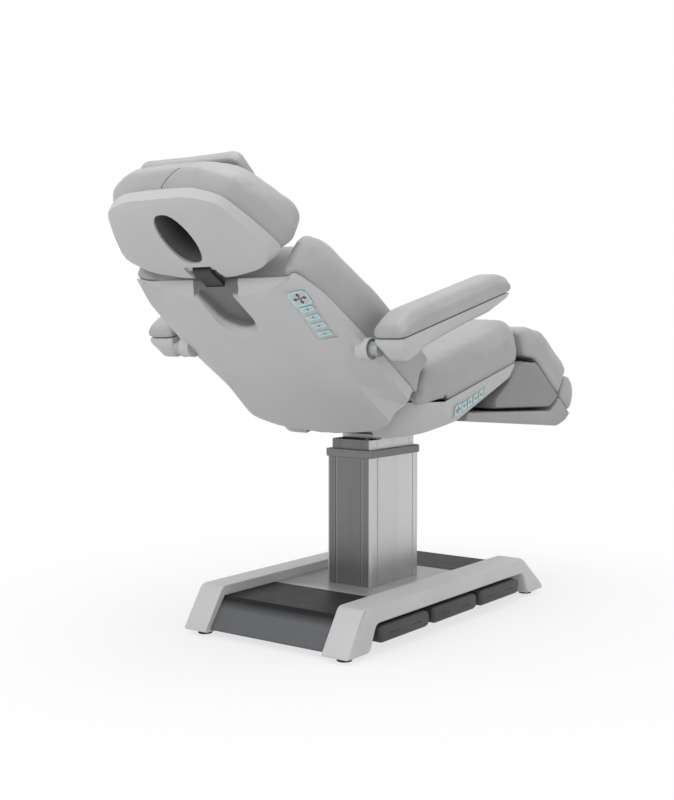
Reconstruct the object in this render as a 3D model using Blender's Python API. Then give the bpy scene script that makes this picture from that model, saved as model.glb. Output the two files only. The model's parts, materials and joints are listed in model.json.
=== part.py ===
"""Electric beauty treatment table: a padded chair bed on one lifting column.

Metres, +Z up. The origin is on the floor under the middle of the base. +X points to
the foot end, +Y to the sitter's left. The rest pose is the half reclined one: the seat
rises to the front, the back leans far back and the leg rest hangs down.

Each upholstered section has its own frame in the X-Z plane: 'along' runs with the
section, 'across' is Y, 'up' is square to its padded side. Outlines are tables of shares
of the section's sizes, and most solids are lofts through a row of such outlines.
"""

import math

import bmesh
import bpy
from mathutils import Vector

# Base
BASE_LENGTH = 1.080
BASE_WIDTH = 0.560
FOOT_CLEARANCE = 0.012
RAIL_HEIGHT = 0.131
RAIL_WIDTH = 0.082
RAIL_ROUNDING = 0.012
PEDAL_BAY_HEIGHT = 0.081
PLATE_HEIGHT = 0.105
COVER_LENGTH = 1.030
COVER_THICKNESS = 0.006
REAR_COVER_FLAT = 0.220
FRONT_COVER_FLAT = 0.212
COVER_SLOPE = 0.060
CHASSIS_HEIGHT = 0.075
CHASSIS_BEAM = 0.030
CHASSIS_FLOOR = 0.026
FOOT_RADIUS = 0.020
INLET_WIDTH = 0.050
INLET_HEIGHT = 0.030
INLET_DEPTH = 0.024

# Pedals
PEDAL_LENGTH = 0.240
PEDAL_PITCH = 0.260
PEDAL_HEIGHT = 0.045
PEDAL_DEPTH = 0.062
PEDAL_CENTRE_HEIGHT = 0.052
PEDAL_REACH = 0.288
PEDAL_ROUNDING = 0.010
PEDAL_PIN_RADIUS = 0.006
PEDAL_BRACKET = 0.020

# Column and lift
COLUMN_LENGTH = 0.250
COLUMN_WIDTH = 0.156
COLUMN_TOP = 0.475
COLUMN_SETBACK = 0.017
COLUMN_WALL = 0.005
COLUMN_CORNER = 0.030
GROOVE_WIDTH = 0.006
GROOVE_DEPTH = 0.002
COLLAR_HEIGHT = 0.022
COLLAR_LIP = 0.004
SLIDE_CLEARANCE = 0.0015
LIFT_TUBE_BOTTOM = 0.150
LIFT_TUBE_TOP = 0.526
LIFT_WALL = 0.004
LIFT_CASE_RADIUS = 0.028
LIFT_CASE_TOP = 0.445
LIFT_ROD_RADIUS = 0.012
HEAD_PLATE = 0.011
HEAD_BLOCK_LENGTH = 0.120
TILT_AXIS_HEIGHT = 0.595
TILT_PIN_RADIUS = 0.008
TILT_EAR_RADIUS = 0.016
TILT_EAR_SPACING = 0.045
EAR_THICKNESS = 0.008
TILT_CASE_RADIUS = 0.018
TILT_CASE_BOTTOM = 0.320
TILT_CASE_TOP = 0.490

# Seat
SEAT_HEIGHT = 0.669
SEAT_ANGLE = math.radians(13.5)
SEAT_LENGTH = 0.352
SEAT_WIDTH = 0.606
SEAT_PAD = 0.136
SEAT_REAR_RADIUS = 0.1140
SEAT_DEPTH = 0.080
SEAT_TUCK = 0.001
SEAT_SHELL_WIDTH = SEAT_WIDTH - 2 * SEAT_TUCK
SEAT_KEEL_TUCK = 0.017
SEAT_KEEL_WIDTH = SEAT_SHELL_WIDTH - 2 * SEAT_KEEL_TUCK
SEAT_FRAME_MARGIN = 0.04228
SEAT_FRAME_TOP = 0.0037
SEAT_FRAME_PLATE = 0.0077
SEAT_RAIL_DEPTH = 0.026
CRADLE_DEPTH = 0.036
CRADLE_WIDTH = 0.157
CRADLE_LENGTH = 0.215
SHELL_WALL = 0.004

# Back
BACK_HINGE_SETBACK = 0.126
BACK_ANGLE = math.radians(32.8)
BACK_LENGTH = 0.704
BACK_WIDTH = 0.616
BACK_PAD = 0.135
BACK_PAD_DROP = 0.040
BACK_END_RADIUS = 0.1195
BACK_DEPTH = 0.138
BACK_RIM_DROP = 0.0423
BACK_TUCK = 0.005
BACK_SHELL_WIDTH = BACK_WIDTH - 2 * BACK_TUCK
BACK_CROWN = 0.038
BACK_TAPER = 0.10
TROUGH_WIDTH = 0.140
TROUGH_LENGTH = 0.160
TROUGH_FLOOR = 0.063
HINGE_TUBE_RADIUS = 0.009
HINGE_PIN_RADIUS = 0.0070
HINGE_TUBE_LENGTH = 0.330
BACK_ARM_SPACING = 0.109
LEVER_RADIUS = 0.045
LEVER_ACROSS = 0.140
LEVER_START = math.radians(10.75)
ACTUATOR_RADIUS = 0.0125
ACTUATOR_ROD_RADIUS = 0.0060

# Head rest
HEAD_ANGLE = math.radians(42.0)
HEAD_OVERHANG = 0.204
HEAD_AHEAD = BACK_LENGTH + HEAD_OVERHANG
HEAD_DROP = 0.020
HEAD_LENGTH = 0.225
HEAD_WIDTH = 0.500
HEAD_SHELL = 0.030
HEAD_PAD = 0.115
HEAD_HOLE_LENGTH = 0.160
HEAD_HOLE_WIDTH = 0.100
PILLOW_LENGTH = 0.215
PILLOW_WIDTH = 0.340
PILLOW_THICKNESS = 0.036
HEAD_BAR_WIDTH = 0.060
HEAD_BAR_THICKNESS = 0.010
HEAD_BAR_LENGTH = 0.260
HEAD_PIN_RADIUS = 0.005
HEAD_EYE_RADIUS = 0.0095

# Armrests
ARM_PIVOT_ALONG = 0.386
ARM_PIVOT_DROP = 0.066
ARM_ANGLE = math.radians(13.5)
ARM_LENGTH = 0.570
ARM_WIDTH = 0.098
ARM_PAD = 0.057
ARM_DEPTH = 0.065
ARM_CLEARANCE = 0.028
ARM_SPACING = (BACK_WIDTH + ARM_WIDTH) / 2 + ARM_CLEARANCE
ARM_BOSS_RADIUS = 0.028
ARM_BOSS_RISE = 0.013
ARM_BOSS_REACH = BACK_SHELL_WIDTH / 2 + ARM_BOSS_RISE
ARM_PIN_RADIUS = 0.019

# Leg rest
KNEE_OVERHANG = 0.0248
KNEE_AHEAD = SEAT_LENGTH + KNEE_OVERHANG
KNEE_ABOVE = 0.070
LEG_ANGLE = math.radians(36.0)
LEG_LENGTH = 0.367
LEG_PAD = 0.135
LEG_NARROWING = 0.023
LEG_WIDTH = SEAT_WIDTH - 2 * LEG_NARROWING
LEG_TUCK = 0.002
LEG_SHELL_WIDTH = LEG_WIDTH - 2 * LEG_TUCK
LEG_DEPTH = 0.258
LEG_LEVER_ALONG = 0.0386
LEG_LEVER_DROP = 0.0757
LEG_PLATE_TOP = 0.0177
FOOT_START = 0.371
FOOT_LENGTH = 0.094
FOOT_PAD = 0.105
TRAY_LENGTH = 0.458
TRAY_DEPTH = 0.380
TRAY_NOTCH_WIDTH = 0.220
TRAY_NOTCH_END = 0.176
GUIDE_RADIUS = 0.008
GUIDE_ACROSS = 0.205
GUIDE_DROP = 0.022

# Keypads
KEYPAD_PLATE = 0.0020
KEYPAD_SINK = 0.0012
KEY_TRAVEL_GAP = 0.0009
KEY_HEIGHT = 0.0022
KEYPAD_MARGIN = 0.004
BACK_PAD_KEY = (0.048, 0.050)
BACK_KEY = (0.016, 0.036)
BACK_KEY_PITCH = 0.0300
SEAT_PAD_KEY = (0.036, 0.032)
SEAT_KEY = (0.025, 0.024)
SEAT_KEY_PITCH = 0.0330

# Clearances and rounding
GAP = 0.0003
FLATNESS = 0.000003
INSET_SHARE = 0.55
RUNNING_GAP = 0.003
OVERRUN = 0.020
PADDING_ROUND = 0.024
PADDING_BULGE = 0.006
TAPER_START = 0.70
CORNER_STEPS = 2
EDGE_STEPS = 3
ROUND_SIDES = 20

# Side profiles: (along share, up share) of the length and height named in each use
RAIL_SHARES = ((-0.500, 0.000), (-0.428, 1.000), (0.368, 1.000), (0.485, 0.200),
               (0.500, 0.000), (0.398, 0.000), (0.368, 0.580), (-0.374, 0.580),
               (-0.402, 0.000))
SEAT_SHARES = ((-0.440, 0.160), (-0.284, 0.135), (-0.240, 0.030), (0.918, 0.030),
               (1.000, 0.220), (0.994, 0.740), (0.870, 1.000), (0.300, 0.930),
               (-0.142, 0.868))
BACK_SHARES = ((0.230, 0.980), (0.560, 1.000), (0.870, 0.975), (0.930, 0.700),
               (0.945, 0.200), (0.945, 0.000))
BACK_EAR_SHARES = ((0.230, 0.980), (0.560, 1.000), (0.905, 0.960), (0.990, 0.790),
                   (1.000, 0.300), (1.000, 0.000))
ARM_PAD_SHARES = ((-0.053, 0.000), (-0.053, 0.620), (0.060, 1.000), (0.860, 1.000),
                  (0.947, 0.700), (0.947, 0.000))
ARM_SHELL_SHARES = ((-0.035, 0.000), (0.925, 0.000), (0.900, -0.300), (0.770, -0.560),
                    (0.510, -0.600), (0.200, -0.740), (0.085, -0.960), (0.035, -1.000),
                    (0.000, -0.900), (-0.035, -0.350))
ARM_KEEL_SHARES = ((1.000, 0.500), (0.940, 0.640), (0.480, 0.980), (0.380, 1.000))
CALF_SHARES = ((0.014, 0.215), (0.185, 0.585), (0.406, 0.889), (0.534, 0.956),
               (0.900, 1.000), (1.000, 0.904), (1.000, 0.174), (0.892, 0.133),
               (0.417, 0.133), (0.232, -0.148))
CALF_SHELL_SHARES = ((0.248, -0.1295), (0.444, 0.0465), (0.962, 0.0465), (0.898, -0.188),
                     (0.047, -1.000), (0.029, -0.866))
CALF_OPEN_EDGES = (0, 1)
TRAY_SHARES = ((0.799, 0.0316), (1.000, 0.0316), (0.980, -0.058), (0.893, -0.184),
               (-0.229, -1.000), (-0.229, -0.918), (0.734, -0.150))
TRAY_OPEN_EDGES = (5, 6)
FOOT_PAD_SHARES = ((0.000, 0.000), (0.000, 0.880), (0.250, 1.000), (0.720, 0.930),
                   (1.000, 0.560), (0.930, 0.000))

# Plan outlines, half of each: (along share, across share, height share)
SEAT_RIM_SHARES = ((-0.679, 0.000), (-0.679, 0.660), (-0.580, 0.930), (-0.380, 1.000),
                   (0.860, 1.000), (0.975, 0.900), (0.994, 0.000))
SEAT_KEEL_SHARES = ((-0.600, 0.000), (-0.600, 0.640), (-0.455, 0.860), (-0.150, 1.000),
                    (0.850, 0.990), (0.940, 0.930), (0.960, 0.000))
SEAT_KEEL_HEIGHT_SHARES = ((-0.640, -1.000), (-0.085, -0.950), (0.116, -0.825),
                           (0.554, -0.625), (1.000, -0.470))
SEAT_RIM_HEIGHT_SHARES = ((-0.685, 0.430), (-0.300, -0.010), (-0.240, 0.000), (1.000, 0.000))
BACK_RIM_SHARES = ((0.179, 0.000, -0.3065), (0.179, 0.500, -0.3065), (0.179, 0.820, -0.3065),
                   (0.192, 0.990, -0.3065), (0.548, 1.000, -0.3065), (0.850, 0.970, -0.3065),
                   (0.980, 0.870, -0.3065), (0.948, 0.770, -0.3065), (0.948, 0.000, -0.3065))
BACK_WAIST_SHARES = ((0.130, 0.000, -0.660), (0.130, 0.530, -0.660), (0.160, 0.820, -0.640),
                     (0.199, 0.990, -0.544), (0.548, 1.000, -0.500), (0.830, 0.945, -0.420),
                     (0.965, 0.840, -0.370), (0.942, 0.760, -0.370), (0.942, 0.000, -0.370))
BACK_FACE_SHARES = ((0.066, 0.000), (0.099, 0.561), (0.156, 0.800), (0.382, 0.750),
                    (0.597, 0.809), (0.852, 0.809), (0.905, 0.720), (0.915, 0.500),
                    (0.915, 0.000))
BACK_FACE_HEIGHT_SHARES = ((0.040, -0.786), (0.071, -0.990), (0.928, -0.594), (1.000, -0.560))
BACK_CROWN_SHARES = ((0.000, 0.130), (0.355, 0.130), (0.640, 0.600), (0.920, 1.000))
HEAD_FACE_SHARES = ((-0.155, 0.000), (-0.155, 0.400), (-0.045, 0.712), (0.311, 0.860),
                    (0.667, 0.960), (0.889, 0.740), (1.000, 0.320), (1.000, 0.000))
HEAD_SEAM_SHARES = ((-0.195, 0.000), (-0.185, 0.440), (-0.053, 0.724), (0.271, 0.884),
                    (0.667, 1.032), (0.800, 0.960), (0.835, 0.360), (0.835, 0.000))
HEAD_BULGE_SHARES = ((-0.330, 0.000), (-0.310, 0.470), (-0.120, 0.800), (0.220, 0.990),
                     (0.630, 1.115), (0.840, 1.010), (0.860, 0.400), (0.860, 0.000))
HEAD_TOP_SHARES = ((-0.130, 0.000), (-0.125, 0.420), (-0.060, 0.690), (0.124, 0.852),
                   (0.538, 1.080), (0.760, 1.010), (0.850, 0.360), (0.850, 0.000))


class Section:
    """A straight section's frame: along and up lie in the X-Z plane, across is Y."""

    def __init__(self, origin, angle, heading=1):
        self.origin = Vector(origin)
        self.along = Vector((heading * math.cos(angle), 0, math.sin(angle)))
        self.across = Vector((0, 1, 0))
        self.up = Vector((-heading * math.sin(angle), 0, math.cos(angle)))

    def at(self, along, across, up):
        return self.origin + self.along * along + self.across * across + self.up * up

    def where(self, point):
        offset = Vector(point) - self.origin
        return offset.dot(self.along), offset.dot(self.up)


class Facet:
    """A small frame lying on a surface, for what is fixed to that surface."""

    def __init__(self, origin, along, outward):
        self.origin = Vector(origin)
        self.up = Vector(outward).normalized()
        self.across = self.up.cross(Vector(along)).normalized()
        self.along = self.across.cross(self.up)

    def at(self, along, across, up):
        return self.origin + self.along * along + self.across * across + self.up * up


FLOOR = Section((0, 0, 0), 0)
SEAT = Section((0, 0, SEAT_HEIGHT), SEAT_ANGLE)
BACK = Section(SEAT.at(-BACK_HINGE_SETBACK, 0, 0), BACK_ANGLE, heading=-1)
HEAD = Section(BACK.at(HEAD_AHEAD, 0, -HEAD_DROP), -HEAD_ANGLE)
ARM = Section(BACK.at(ARM_PIVOT_ALONG, 0, -ARM_PIVOT_DROP), ARM_ANGLE)
LEG = Section(SEAT.at(KNEE_AHEAD, 0, KNEE_ABOVE), -LEG_ANGLE)
COLUMN_CENTRE = -COLUMN_SETBACK
TILT_AXIS = Vector((COLUMN_CENTRE, 0, TILT_AXIS_HEIGHT))


# Scene helpers

def clear_scene():
    for item in list(bpy.data.objects):
        bpy.data.objects.remove(item, do_unlink=True)


def finish(name, colour, roughness, metallic=0.0):
    material = bpy.data.materials.new(name)
    material.use_nodes = True
    shader = material.node_tree.nodes["Principled BSDF"]
    shader.inputs["Base Color"].default_value = (*colour, 1.0)
    shader.inputs["Roughness"].default_value = roughness
    shader.inputs["Metallic"].default_value = metallic
    return material


def is_bent(face):
    """Whether a face's corners leave its plane."""
    first = face.verts[0].co
    return any(abs((vert.co - first).dot(face.normal)) > FLATNESS for vert in face.verts)


def mesh_object(name, points, faces, material=None):
    """One closed mesh with its faces turned outward; without a material it is a tool."""
    mesh = bpy.data.meshes.new(name)
    work = bmesh.new()
    corners = [work.verts.new(point) for point in points]
    for face in faces:
        work.faces.new([corners[index] for index in face])
    work.normal_update()
    bmesh.ops.triangulate(work, faces=[face for face in work.faces if is_bent(face)])
    bmesh.ops.recalc_face_normals(work, faces=work.faces)
    if work.calc_volume(signed=True) < 0:
        bmesh.ops.reverse_faces(work, faces=work.faces)
    work.to_mesh(mesh)
    work.free()
    item = bpy.data.objects.new(name, mesh)
    bpy.context.scene.collection.objects.link(item)
    if material:
        mesh.materials.append(material)
        mesh.shade_smooth()
        mesh.set_sharp_from_angle(angle=math.radians(32))
    else:
        item.hide_render = True
        item.display_type = "WIRE"
    return item


def loft(name, rings, material=None):
    """Bridge a row of closed rings with equal counts and cap both ends."""
    count = len(rings[0])
    points = [point for ring in rings for point in ring]
    faces = [list(range(count)), list(range(len(points) - count, len(points)))]
    for level in range(len(rings) - 1):
        low = level * count
        high = low + count
        for index in range(count):
            after = (index + 1) % count
            faces.append([low + index, low + after, high + after, high + index])
    return mesh_object(name, points, faces, material)


def boolean(target, tool, operation):
    change = target.modifiers.new(tool.name, "BOOLEAN")
    change.operation = operation
    change.solver = "EXACT"
    change.object = tool
    return target


def cut(target, *tools):
    for tool in tools:
        boolean(target, tool, "DIFFERENCE")
    return target


def join(target, *tools):
    for tool in tools:
        boolean(target, tool, "UNION")
    return target


# Outline helpers

def sized(shares, *sizes):
    """Turn a table of shares into points."""
    return [tuple(share * size for share, size in zip(row, sizes)) for row in shares]


def rounded(corners, setback, steps=CORNER_STEPS):
    """Round each corner by a curve that starts a setback away on both sides."""
    points = []
    for index, corner in enumerate(corners):
        here = Vector(corner)
        back = Vector(corners[index - 1]) - here
        ahead = Vector(corners[(index + 1) % len(corners)]) - here
        start = here + back * min(setback / back.length, 0.45)
        end = here + ahead * min(setback / ahead.length, 0.45)
        for step in range(steps + 1):
            share = step / steps
            near = start.lerp(here, share)
            far = here.lerp(end, share)
            points.append(tuple(near.lerp(far, share)))
    return points


def mirrored(half):
    """Complete a half outline whose first and last corners lie on the middle line."""
    return list(half) + [(row[0], -row[1], *row[2:]) for row in reversed(half[1:-1])]


def shifted(outline, distances):
    """Move every edge of a closed outline inward by its own distance."""
    count = len(outline)
    area = sum(outline[i - 1][0] * outline[i][1] - outline[i][0] * outline[i - 1][1]
               for i in range(count))
    side = math.copysign(1, area)
    edges = []
    for index, corner in enumerate(outline):
        start = Vector(corner)
        run = (Vector(outline[(index + 1) % count]) - start).normalized()
        inward = Vector((-run.y, run.x)) * side
        distance = distances[index] if isinstance(distances, (list, tuple)) else distances
        edges.append((start + inward * distance, run))
    points = []
    for index in range(count):
        (first, run), (second, turn) = edges[index - 1], edges[index]
        cross = run.x * turn.y - run.y * turn.x
        if abs(cross) < 0.05:
            points.append(tuple(second))
            continue
        offset = second - first
        reach = (offset.x * turn.y - offset.y * turn.x) / cross
        points.append(tuple(first + run * reach))
    return points


def inset(outline, distance, weights=None):
    """Move each point of a dense outline inward, no further than its short edges allow."""
    count = len(outline)
    corners = [Vector(corner[:2]) for corner in outline]
    runs = [corners[(index + 1) % count] - corners[index] for index in range(count)]
    area = sum(corners[i - 1].cross(corners[i]) for i in range(count))
    side = math.copysign(1, area)
    bends = [math.tan(max(0, side * math.atan2(runs[i - 1].cross(runs[i]), runs[i - 1].dot(runs[i]))) / 2)
             for i in range(count)]
    room = [INSET_SHARE * runs[i].length / max(FLATNESS, bends[i] + bends[(i + 1) % count])
            for i in range(count)]
    points = []
    for index, here in enumerate(corners):
        run = runs[index].normalized() + runs[index - 1].normalized()
        inward = Vector((-run.y, run.x)).normalized() * side
        weight = weights[index] if weights else 1
        moved = here + inward * min(distance * weight, room[index - 1], room[index])
        points.append((moved.x, moved.y, *outline[index][2:]))
    return points


def between(table, value):
    """Read a value from a table of (place, value) rows by straight lines."""
    if value <= table[0][0]:
        return table[0][1]
    for (start, low), (end, high) in zip(table, table[1:]):
        if value <= end:
            return low + (high - low) * (value - start) / (end - start)
    return table[-1][1]


def rectangle(low_along, high_along, low_up, high_up):
    return [(low_along, low_up), (high_along, low_up), (high_along, high_up), (low_along, high_up)]


def circle(centre, radius, sides=ROUND_SIDES):
    turns = [2 * math.pi * (index + 0.5) / sides for index in range(sides)]
    return [(centre[0] + radius * math.cos(turn), centre[1] + radius * math.sin(turn))
            for turn in turns]


# Solid helpers

def profile_solid(name, frame, outline, low_across, high_across, material=None):
    """A side profile of (along, up) points carried across."""
    rings = [[frame.at(along, across, up) for along, up in outline]
             for across in (low_across, high_across)]
    return loft(name, rings, material)


def plan_solid(name, frame, outline, low_up, high_up, material=None):
    """A plan outline of (along, across) points carried up."""
    rings = [[frame.at(along, across, up) for along, across in outline]
             for up in (low_up, high_up)]
    return loft(name, rings, material)


def block(name, frame, along, across, up, material=None):
    """A box between two alongs, two acrosses and two ups."""
    return plan_solid(name, frame, rectangle(*along, *across), *up, material)


def bar(name, start, end, radius, material=None, sides=ROUND_SIDES):
    """A round bar between two points."""
    axis = (Vector(end) - Vector(start)).normalized()
    side = axis.orthogonal().normalized()
    other = axis.cross(side)
    rings = []
    for point in (start, end):
        rings.append([Vector(point) + side * along + other * up
                      for along, up in circle((0, 0), radius, sides)])
    return loft(name, rings, material)


def softened(name, frame, outline, half_width, rounding, material, centre=0.0, steps=EDGE_STEPS):
    """A side profile carried across, with rounded end edges."""
    rings = []
    for step in range(steps, -1, -1):
        turn = math.pi / 2 * step / steps
        across = half_width - rounding * (1 - math.sin(turn))
        ring = inset(outline, rounding * (1 - math.cos(turn)))
        rings.append([frame.at(along, centre - across, up) for along, up in ring])
    for step in range(steps + 1):
        turn = math.pi / 2 * step / steps
        across = half_width - rounding * (1 - math.sin(turn))
        ring = inset(outline, rounding * (1 - math.cos(turn)))
        rings.append([frame.at(along, centre + across, up) for along, up in ring])
    return loft(name, rings, material)


def cushion(name, frame, outline, half_width, rounding, crown, material, centre=0.0, ears=None,
            taper=0.0):
    """Upholstery: crowned top, sides drawn in to the seam below and rounded above."""
    lows = [up for along, up in outline]
    low = min(lows)
    height = max(lows) - low
    end = max(along for along, up in outline)
    weights = [0.25 + 0.75 * min(1, max(0, (up - low) / height * 1.6 - 0.2)) for along, up in outline]
    drawn = PADDING_BULGE * min(1, rounding / PADDING_ROUND)
    side = []
    for step in range(EDGE_STEPS + 1):
        turn = math.pi / 2 * step / EDGE_STEPS
        side.append((half_width - drawn - rounding * (1 - math.sin(turn)),
                     rounding * (1 - math.cos(turn))))
    side.append((half_width, min(rounding * 1.9, height * 0.34)))
    half = [(side[0][0] * share, 0) for share in (0.0, 0.50, 0.82)] + side
    rings = []
    for across, depth in [(-a, d) for a, d in reversed(half[1:])] + half:
        shape = outline
        if ears:
            blend = min(1, max(0, (abs(across) / half_width - 0.78) / 0.10))
            shape = [(a + (b - a) * blend, c + (d - c) * blend)
                     for (a, c), (b, d) in zip(outline, ears)]
        rise = crown * (1 - (across / half_width) ** 2)
        ring = inset(shape, depth, weights)
        points = []
        for along, up in ring:
            lift = rise * max(0, (up - low) / height - 0.5) * 2
            narrow = 1 - taper * max(0, (along / end - TAPER_START) / (1 - TAPER_START)) ** 2
            points.append(frame.at(along, centre + across * narrow, up + lift))
        rings.append(points)
    return loft(name, rings, material)


def plan_ring(frame, half, setback, height=None, scale=1.0, middle=0.0, lift=0.0):
    """A ring through a mirrored, rounded half outline of (along, across[, up]) corners."""
    outline = rounded(mirrored(half), setback)
    ring = []
    for row in outline:
        along = middle + (row[0] - middle) * scale
        across = row[1] * scale
        up = height(along, across) if height else row[2]
        ring.append(frame.at(along, across, up + lift))
    return ring


# Base

def make_base(cover, rail, rubber, steel, glossy, dark):
    half_length = BASE_LENGTH / 2
    half_width = BASE_WIDTH / 2
    rise = RAIL_HEIGHT - FOOT_CLEARANCE
    inner = half_width - RAIL_WIDTH
    profile = [(along, FOOT_CLEARANCE + up) for along, up in sized(RAIL_SHARES, BASE_LENGTH, rise)]
    profile = rounded(profile, RAIL_ROUNDING)
    for side, label in ((1, "left"), (-1, "right")):
        rings = []
        for step in range(EDGE_STEPS + 1):
            turn = math.pi / 2 * step / EDGE_STEPS
            across = half_width - RAIL_ROUNDING * (1 - math.sin(turn))
            ring = inset(profile, RAIL_ROUNDING * (1 - math.cos(turn)) * 0.4)
            rings.append([FLOOR.at(along, side * across, up) for along, up in ring])
        rings.insert(0, [FLOOR.at(along, side * inner, up) for along, up in profile])
        loft("base_rail_" + label, rings, rail)
        for place, end in ((-1, "rear"), (1, "front")):
            along = place * (half_length - FOOT_RADIUS * 2.4)
            across = side * (half_width - RAIL_WIDTH / 2)
            bar("rubber_foot_" + end + "_" + label, (along, across, 0),
                (along, across, FOOT_CLEARANCE - GAP), FOOT_RADIUS, rubber)

    reach = inner - GAP
    rear_start = COLUMN_CENTRE - REAR_COVER_FLAT
    rear_fold = rear_start - REAR_COVER_FLAT
    rear_end = -COVER_LENGTH / 2
    front_start = COLUMN_CENTRE + REAR_COVER_FLAT + OVERRUN / 2
    front_fold = front_start + FRONT_COVER_FLAT
    front_end = COVER_LENGTH / 2
    drop = COVER_THICKNESS
    top = PLATE_HEIGHT
    low = FOOT_CLEARANCE + drop
    rear = [(rear_end, low), (rear_end, low + drop), (rear_fold, top), (rear_start - GAP, top),
            (rear_start - GAP, top - drop), (rear_fold + drop / 2, top - drop), (rear_end + drop, low)]
    front = [(front_end, low), (front_end, low + drop), (front_fold, top), (front_start + GAP, top),
             (front_start + GAP, top - drop), (front_fold - drop / 2, top - drop), (front_end - drop, low)]
    profile_solid("base_rear_cover", FLOOR, rear, -reach, reach, cover)
    front_cover = profile_solid("base_front_cover", FLOOR, front, -reach, reach, cover)
    opening_low = low + drop * 2
    inlet_face = front_end - (opening_low - low - drop) * (front_end - front_fold) / (top - low - drop)
    cut(front_cover, block("inlet_opening", FLOOR, (front_end - INLET_DEPTH * 2, front_end + OVERRUN),
                           (-INLET_WIDTH / 2 - GAP, INLET_WIDTH / 2 + GAP),
                           (opening_low - GAP, opening_low + INLET_HEIGHT + GAP)))
    inlet = block("power_inlet", FLOOR, (inlet_face - drop - INLET_DEPTH, inlet_face - drop),
                  (-INLET_WIDTH / 2, INLET_WIDTH / 2), (opening_low, opening_low + INLET_HEIGHT), dark)
    cut(inlet, block("inlet_socket", FLOOR, (inlet_face - drop - INLET_DEPTH * 0.7, inlet_face),
                     (-INLET_WIDTH * 0.36, INLET_WIDTH * 0.36),
                     (opening_low + INLET_HEIGHT * 0.2, opening_low + INLET_HEIGHT * 0.8)))

    plate = plan_solid("base_centre_plate", FLOOR,
                       rectangle(rear_start, front_start, -reach, reach),
                       top - drop, top, glossy)
    foot_length = COLUMN_LENGTH + GAP * 2
    foot_width = COLUMN_WIDTH + GAP * 2
    cut(plate, block("column_foot_opening", FLOOR,
                     (COLUMN_CENTRE - foot_length / 2, COLUMN_CENTRE + foot_length / 2),
                     (-foot_width / 2, foot_width / 2), (top - OVERRUN, top + OVERRUN)))

    beam_low = CHASSIS_FLOOR
    beam_high = CHASSIS_HEIGHT
    beam_end = rear_fold + OVERRUN / 2
    beam_front = front_fold - OVERRUN / 2
    frame = block("base_frame", FLOOR,
                  (COLUMN_CENTRE - COLUMN_LENGTH * 0.62, COLUMN_CENTRE + COLUMN_LENGTH * 0.62),
                  (-reach, reach), (beam_low, beam_high), steel)
    pieces = []
    for side in (-1, 1):
        across = sorted((side * COLUMN_WIDTH * 0.55, side * (COLUMN_WIDTH * 0.55 + CHASSIS_BEAM)))
        pieces.append(block("chassis_beam", FLOOR, (beam_end, beam_front), across, (beam_low, beam_high)))
    for along in (beam_end, beam_front - CHASSIS_BEAM):
        pieces.append(block("chassis_cross", FLOOR, (along, along + CHASSIS_BEAM),
                            (-reach, reach), (beam_low, beam_high)))
    wall = PEDAL_REACH - PEDAL_DEPTH - RUNNING_GAP
    span = PEDAL_PITCH * 2 + PEDAL_LENGTH
    pieces.append(block("pedal_carrier", FLOOR, (-span / 2 + PEDAL_BRACKET / 2, span / 2 - PEDAL_BRACKET * 2),
                        (-wall, -reach + CHASSIS_BEAM), (beam_low, beam_high)))
    seat = block("column_seat", FLOOR,
                 (COLUMN_CENTRE - COLUMN_LENGTH / 2, COLUMN_CENTRE + COLUMN_LENGTH / 2),
                 (-COLUMN_WIDTH / 2, COLUMN_WIDTH / 2), (beam_low + drop, top - drop - GAP))
    pieces.append(seat)
    for index in (-1, 0, 1):
        along = pedal_along(index)
        pieces.append(bar("pedal_pin", (along, -wall + PEDAL_PIN_RADIUS, PEDAL_CENTRE_HEIGHT),
                          (along, -wall - PEDAL_DEPTH * 0.55, PEDAL_CENTRE_HEIGHT), PEDAL_PIN_RADIUS))
    join(frame, *pieces)
    return top


def pedal_along(index):
    return index * PEDAL_PITCH - PEDAL_BRACKET


def make_pedals(dark):
    centre = (PEDAL_REACH - PEDAL_DEPTH / 2)
    for index, label in ((-1, "rear"), (0, "middle"), (1, "front")):
        along = pedal_along(index)
        outline = rectangle(along - PEDAL_LENGTH / 2, along + PEDAL_LENGTH / 2,
                            PEDAL_CENTRE_HEIGHT - PEDAL_HEIGHT / 2,
                            PEDAL_CENTRE_HEIGHT + PEDAL_HEIGHT / 2)
        pedal = softened("pedal_" + label, FLOOR, rounded(outline, PEDAL_ROUNDING * 1.5),
                         PEDAL_DEPTH / 2, PEDAL_ROUNDING, dark, -centre)
        inner = -centre + PEDAL_DEPTH / 2
        cut(pedal, bar("pedal_bore", (along, inner + OVERRUN, PEDAL_CENTRE_HEIGHT),
                       (along, inner - PEDAL_DEPTH * 0.65, PEDAL_CENTRE_HEIGHT), PEDAL_PIN_RADIUS + GAP * 1.5))


# Column and lift

def tube_outline(length, width, corner, groove=0.0):
    """Half length and half width walls with cut corners and a groove near each corner."""
    outline = []
    along = length / 2
    across = width / 2
    chamfer = corner * 0.2
    for turn in range(4):
        reach, flank = (along, across) if turn % 2 == 0 else (across, along)
        quarter = [(reach, -flank + chamfer)]
        if groove:
            for end in (-1, 1):
                near = end * (flank - corner)
                far = near - end * GROOVE_WIDTH
                first, second = (near, far) if end < 0 else (far, near)
                quarter += [(reach, first), (reach - groove, first), (reach - groove, second), (reach, second)]
        quarter.append((reach, flank - chamfer))
        angle = turn * math.pi / 2
        for x, y in quarter:
            outline.append((x * math.cos(angle) - y * math.sin(angle),
                            x * math.sin(angle) + y * math.cos(angle)))
    return [(COLUMN_CENTRE + x, y) for x, y in outline]


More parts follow.
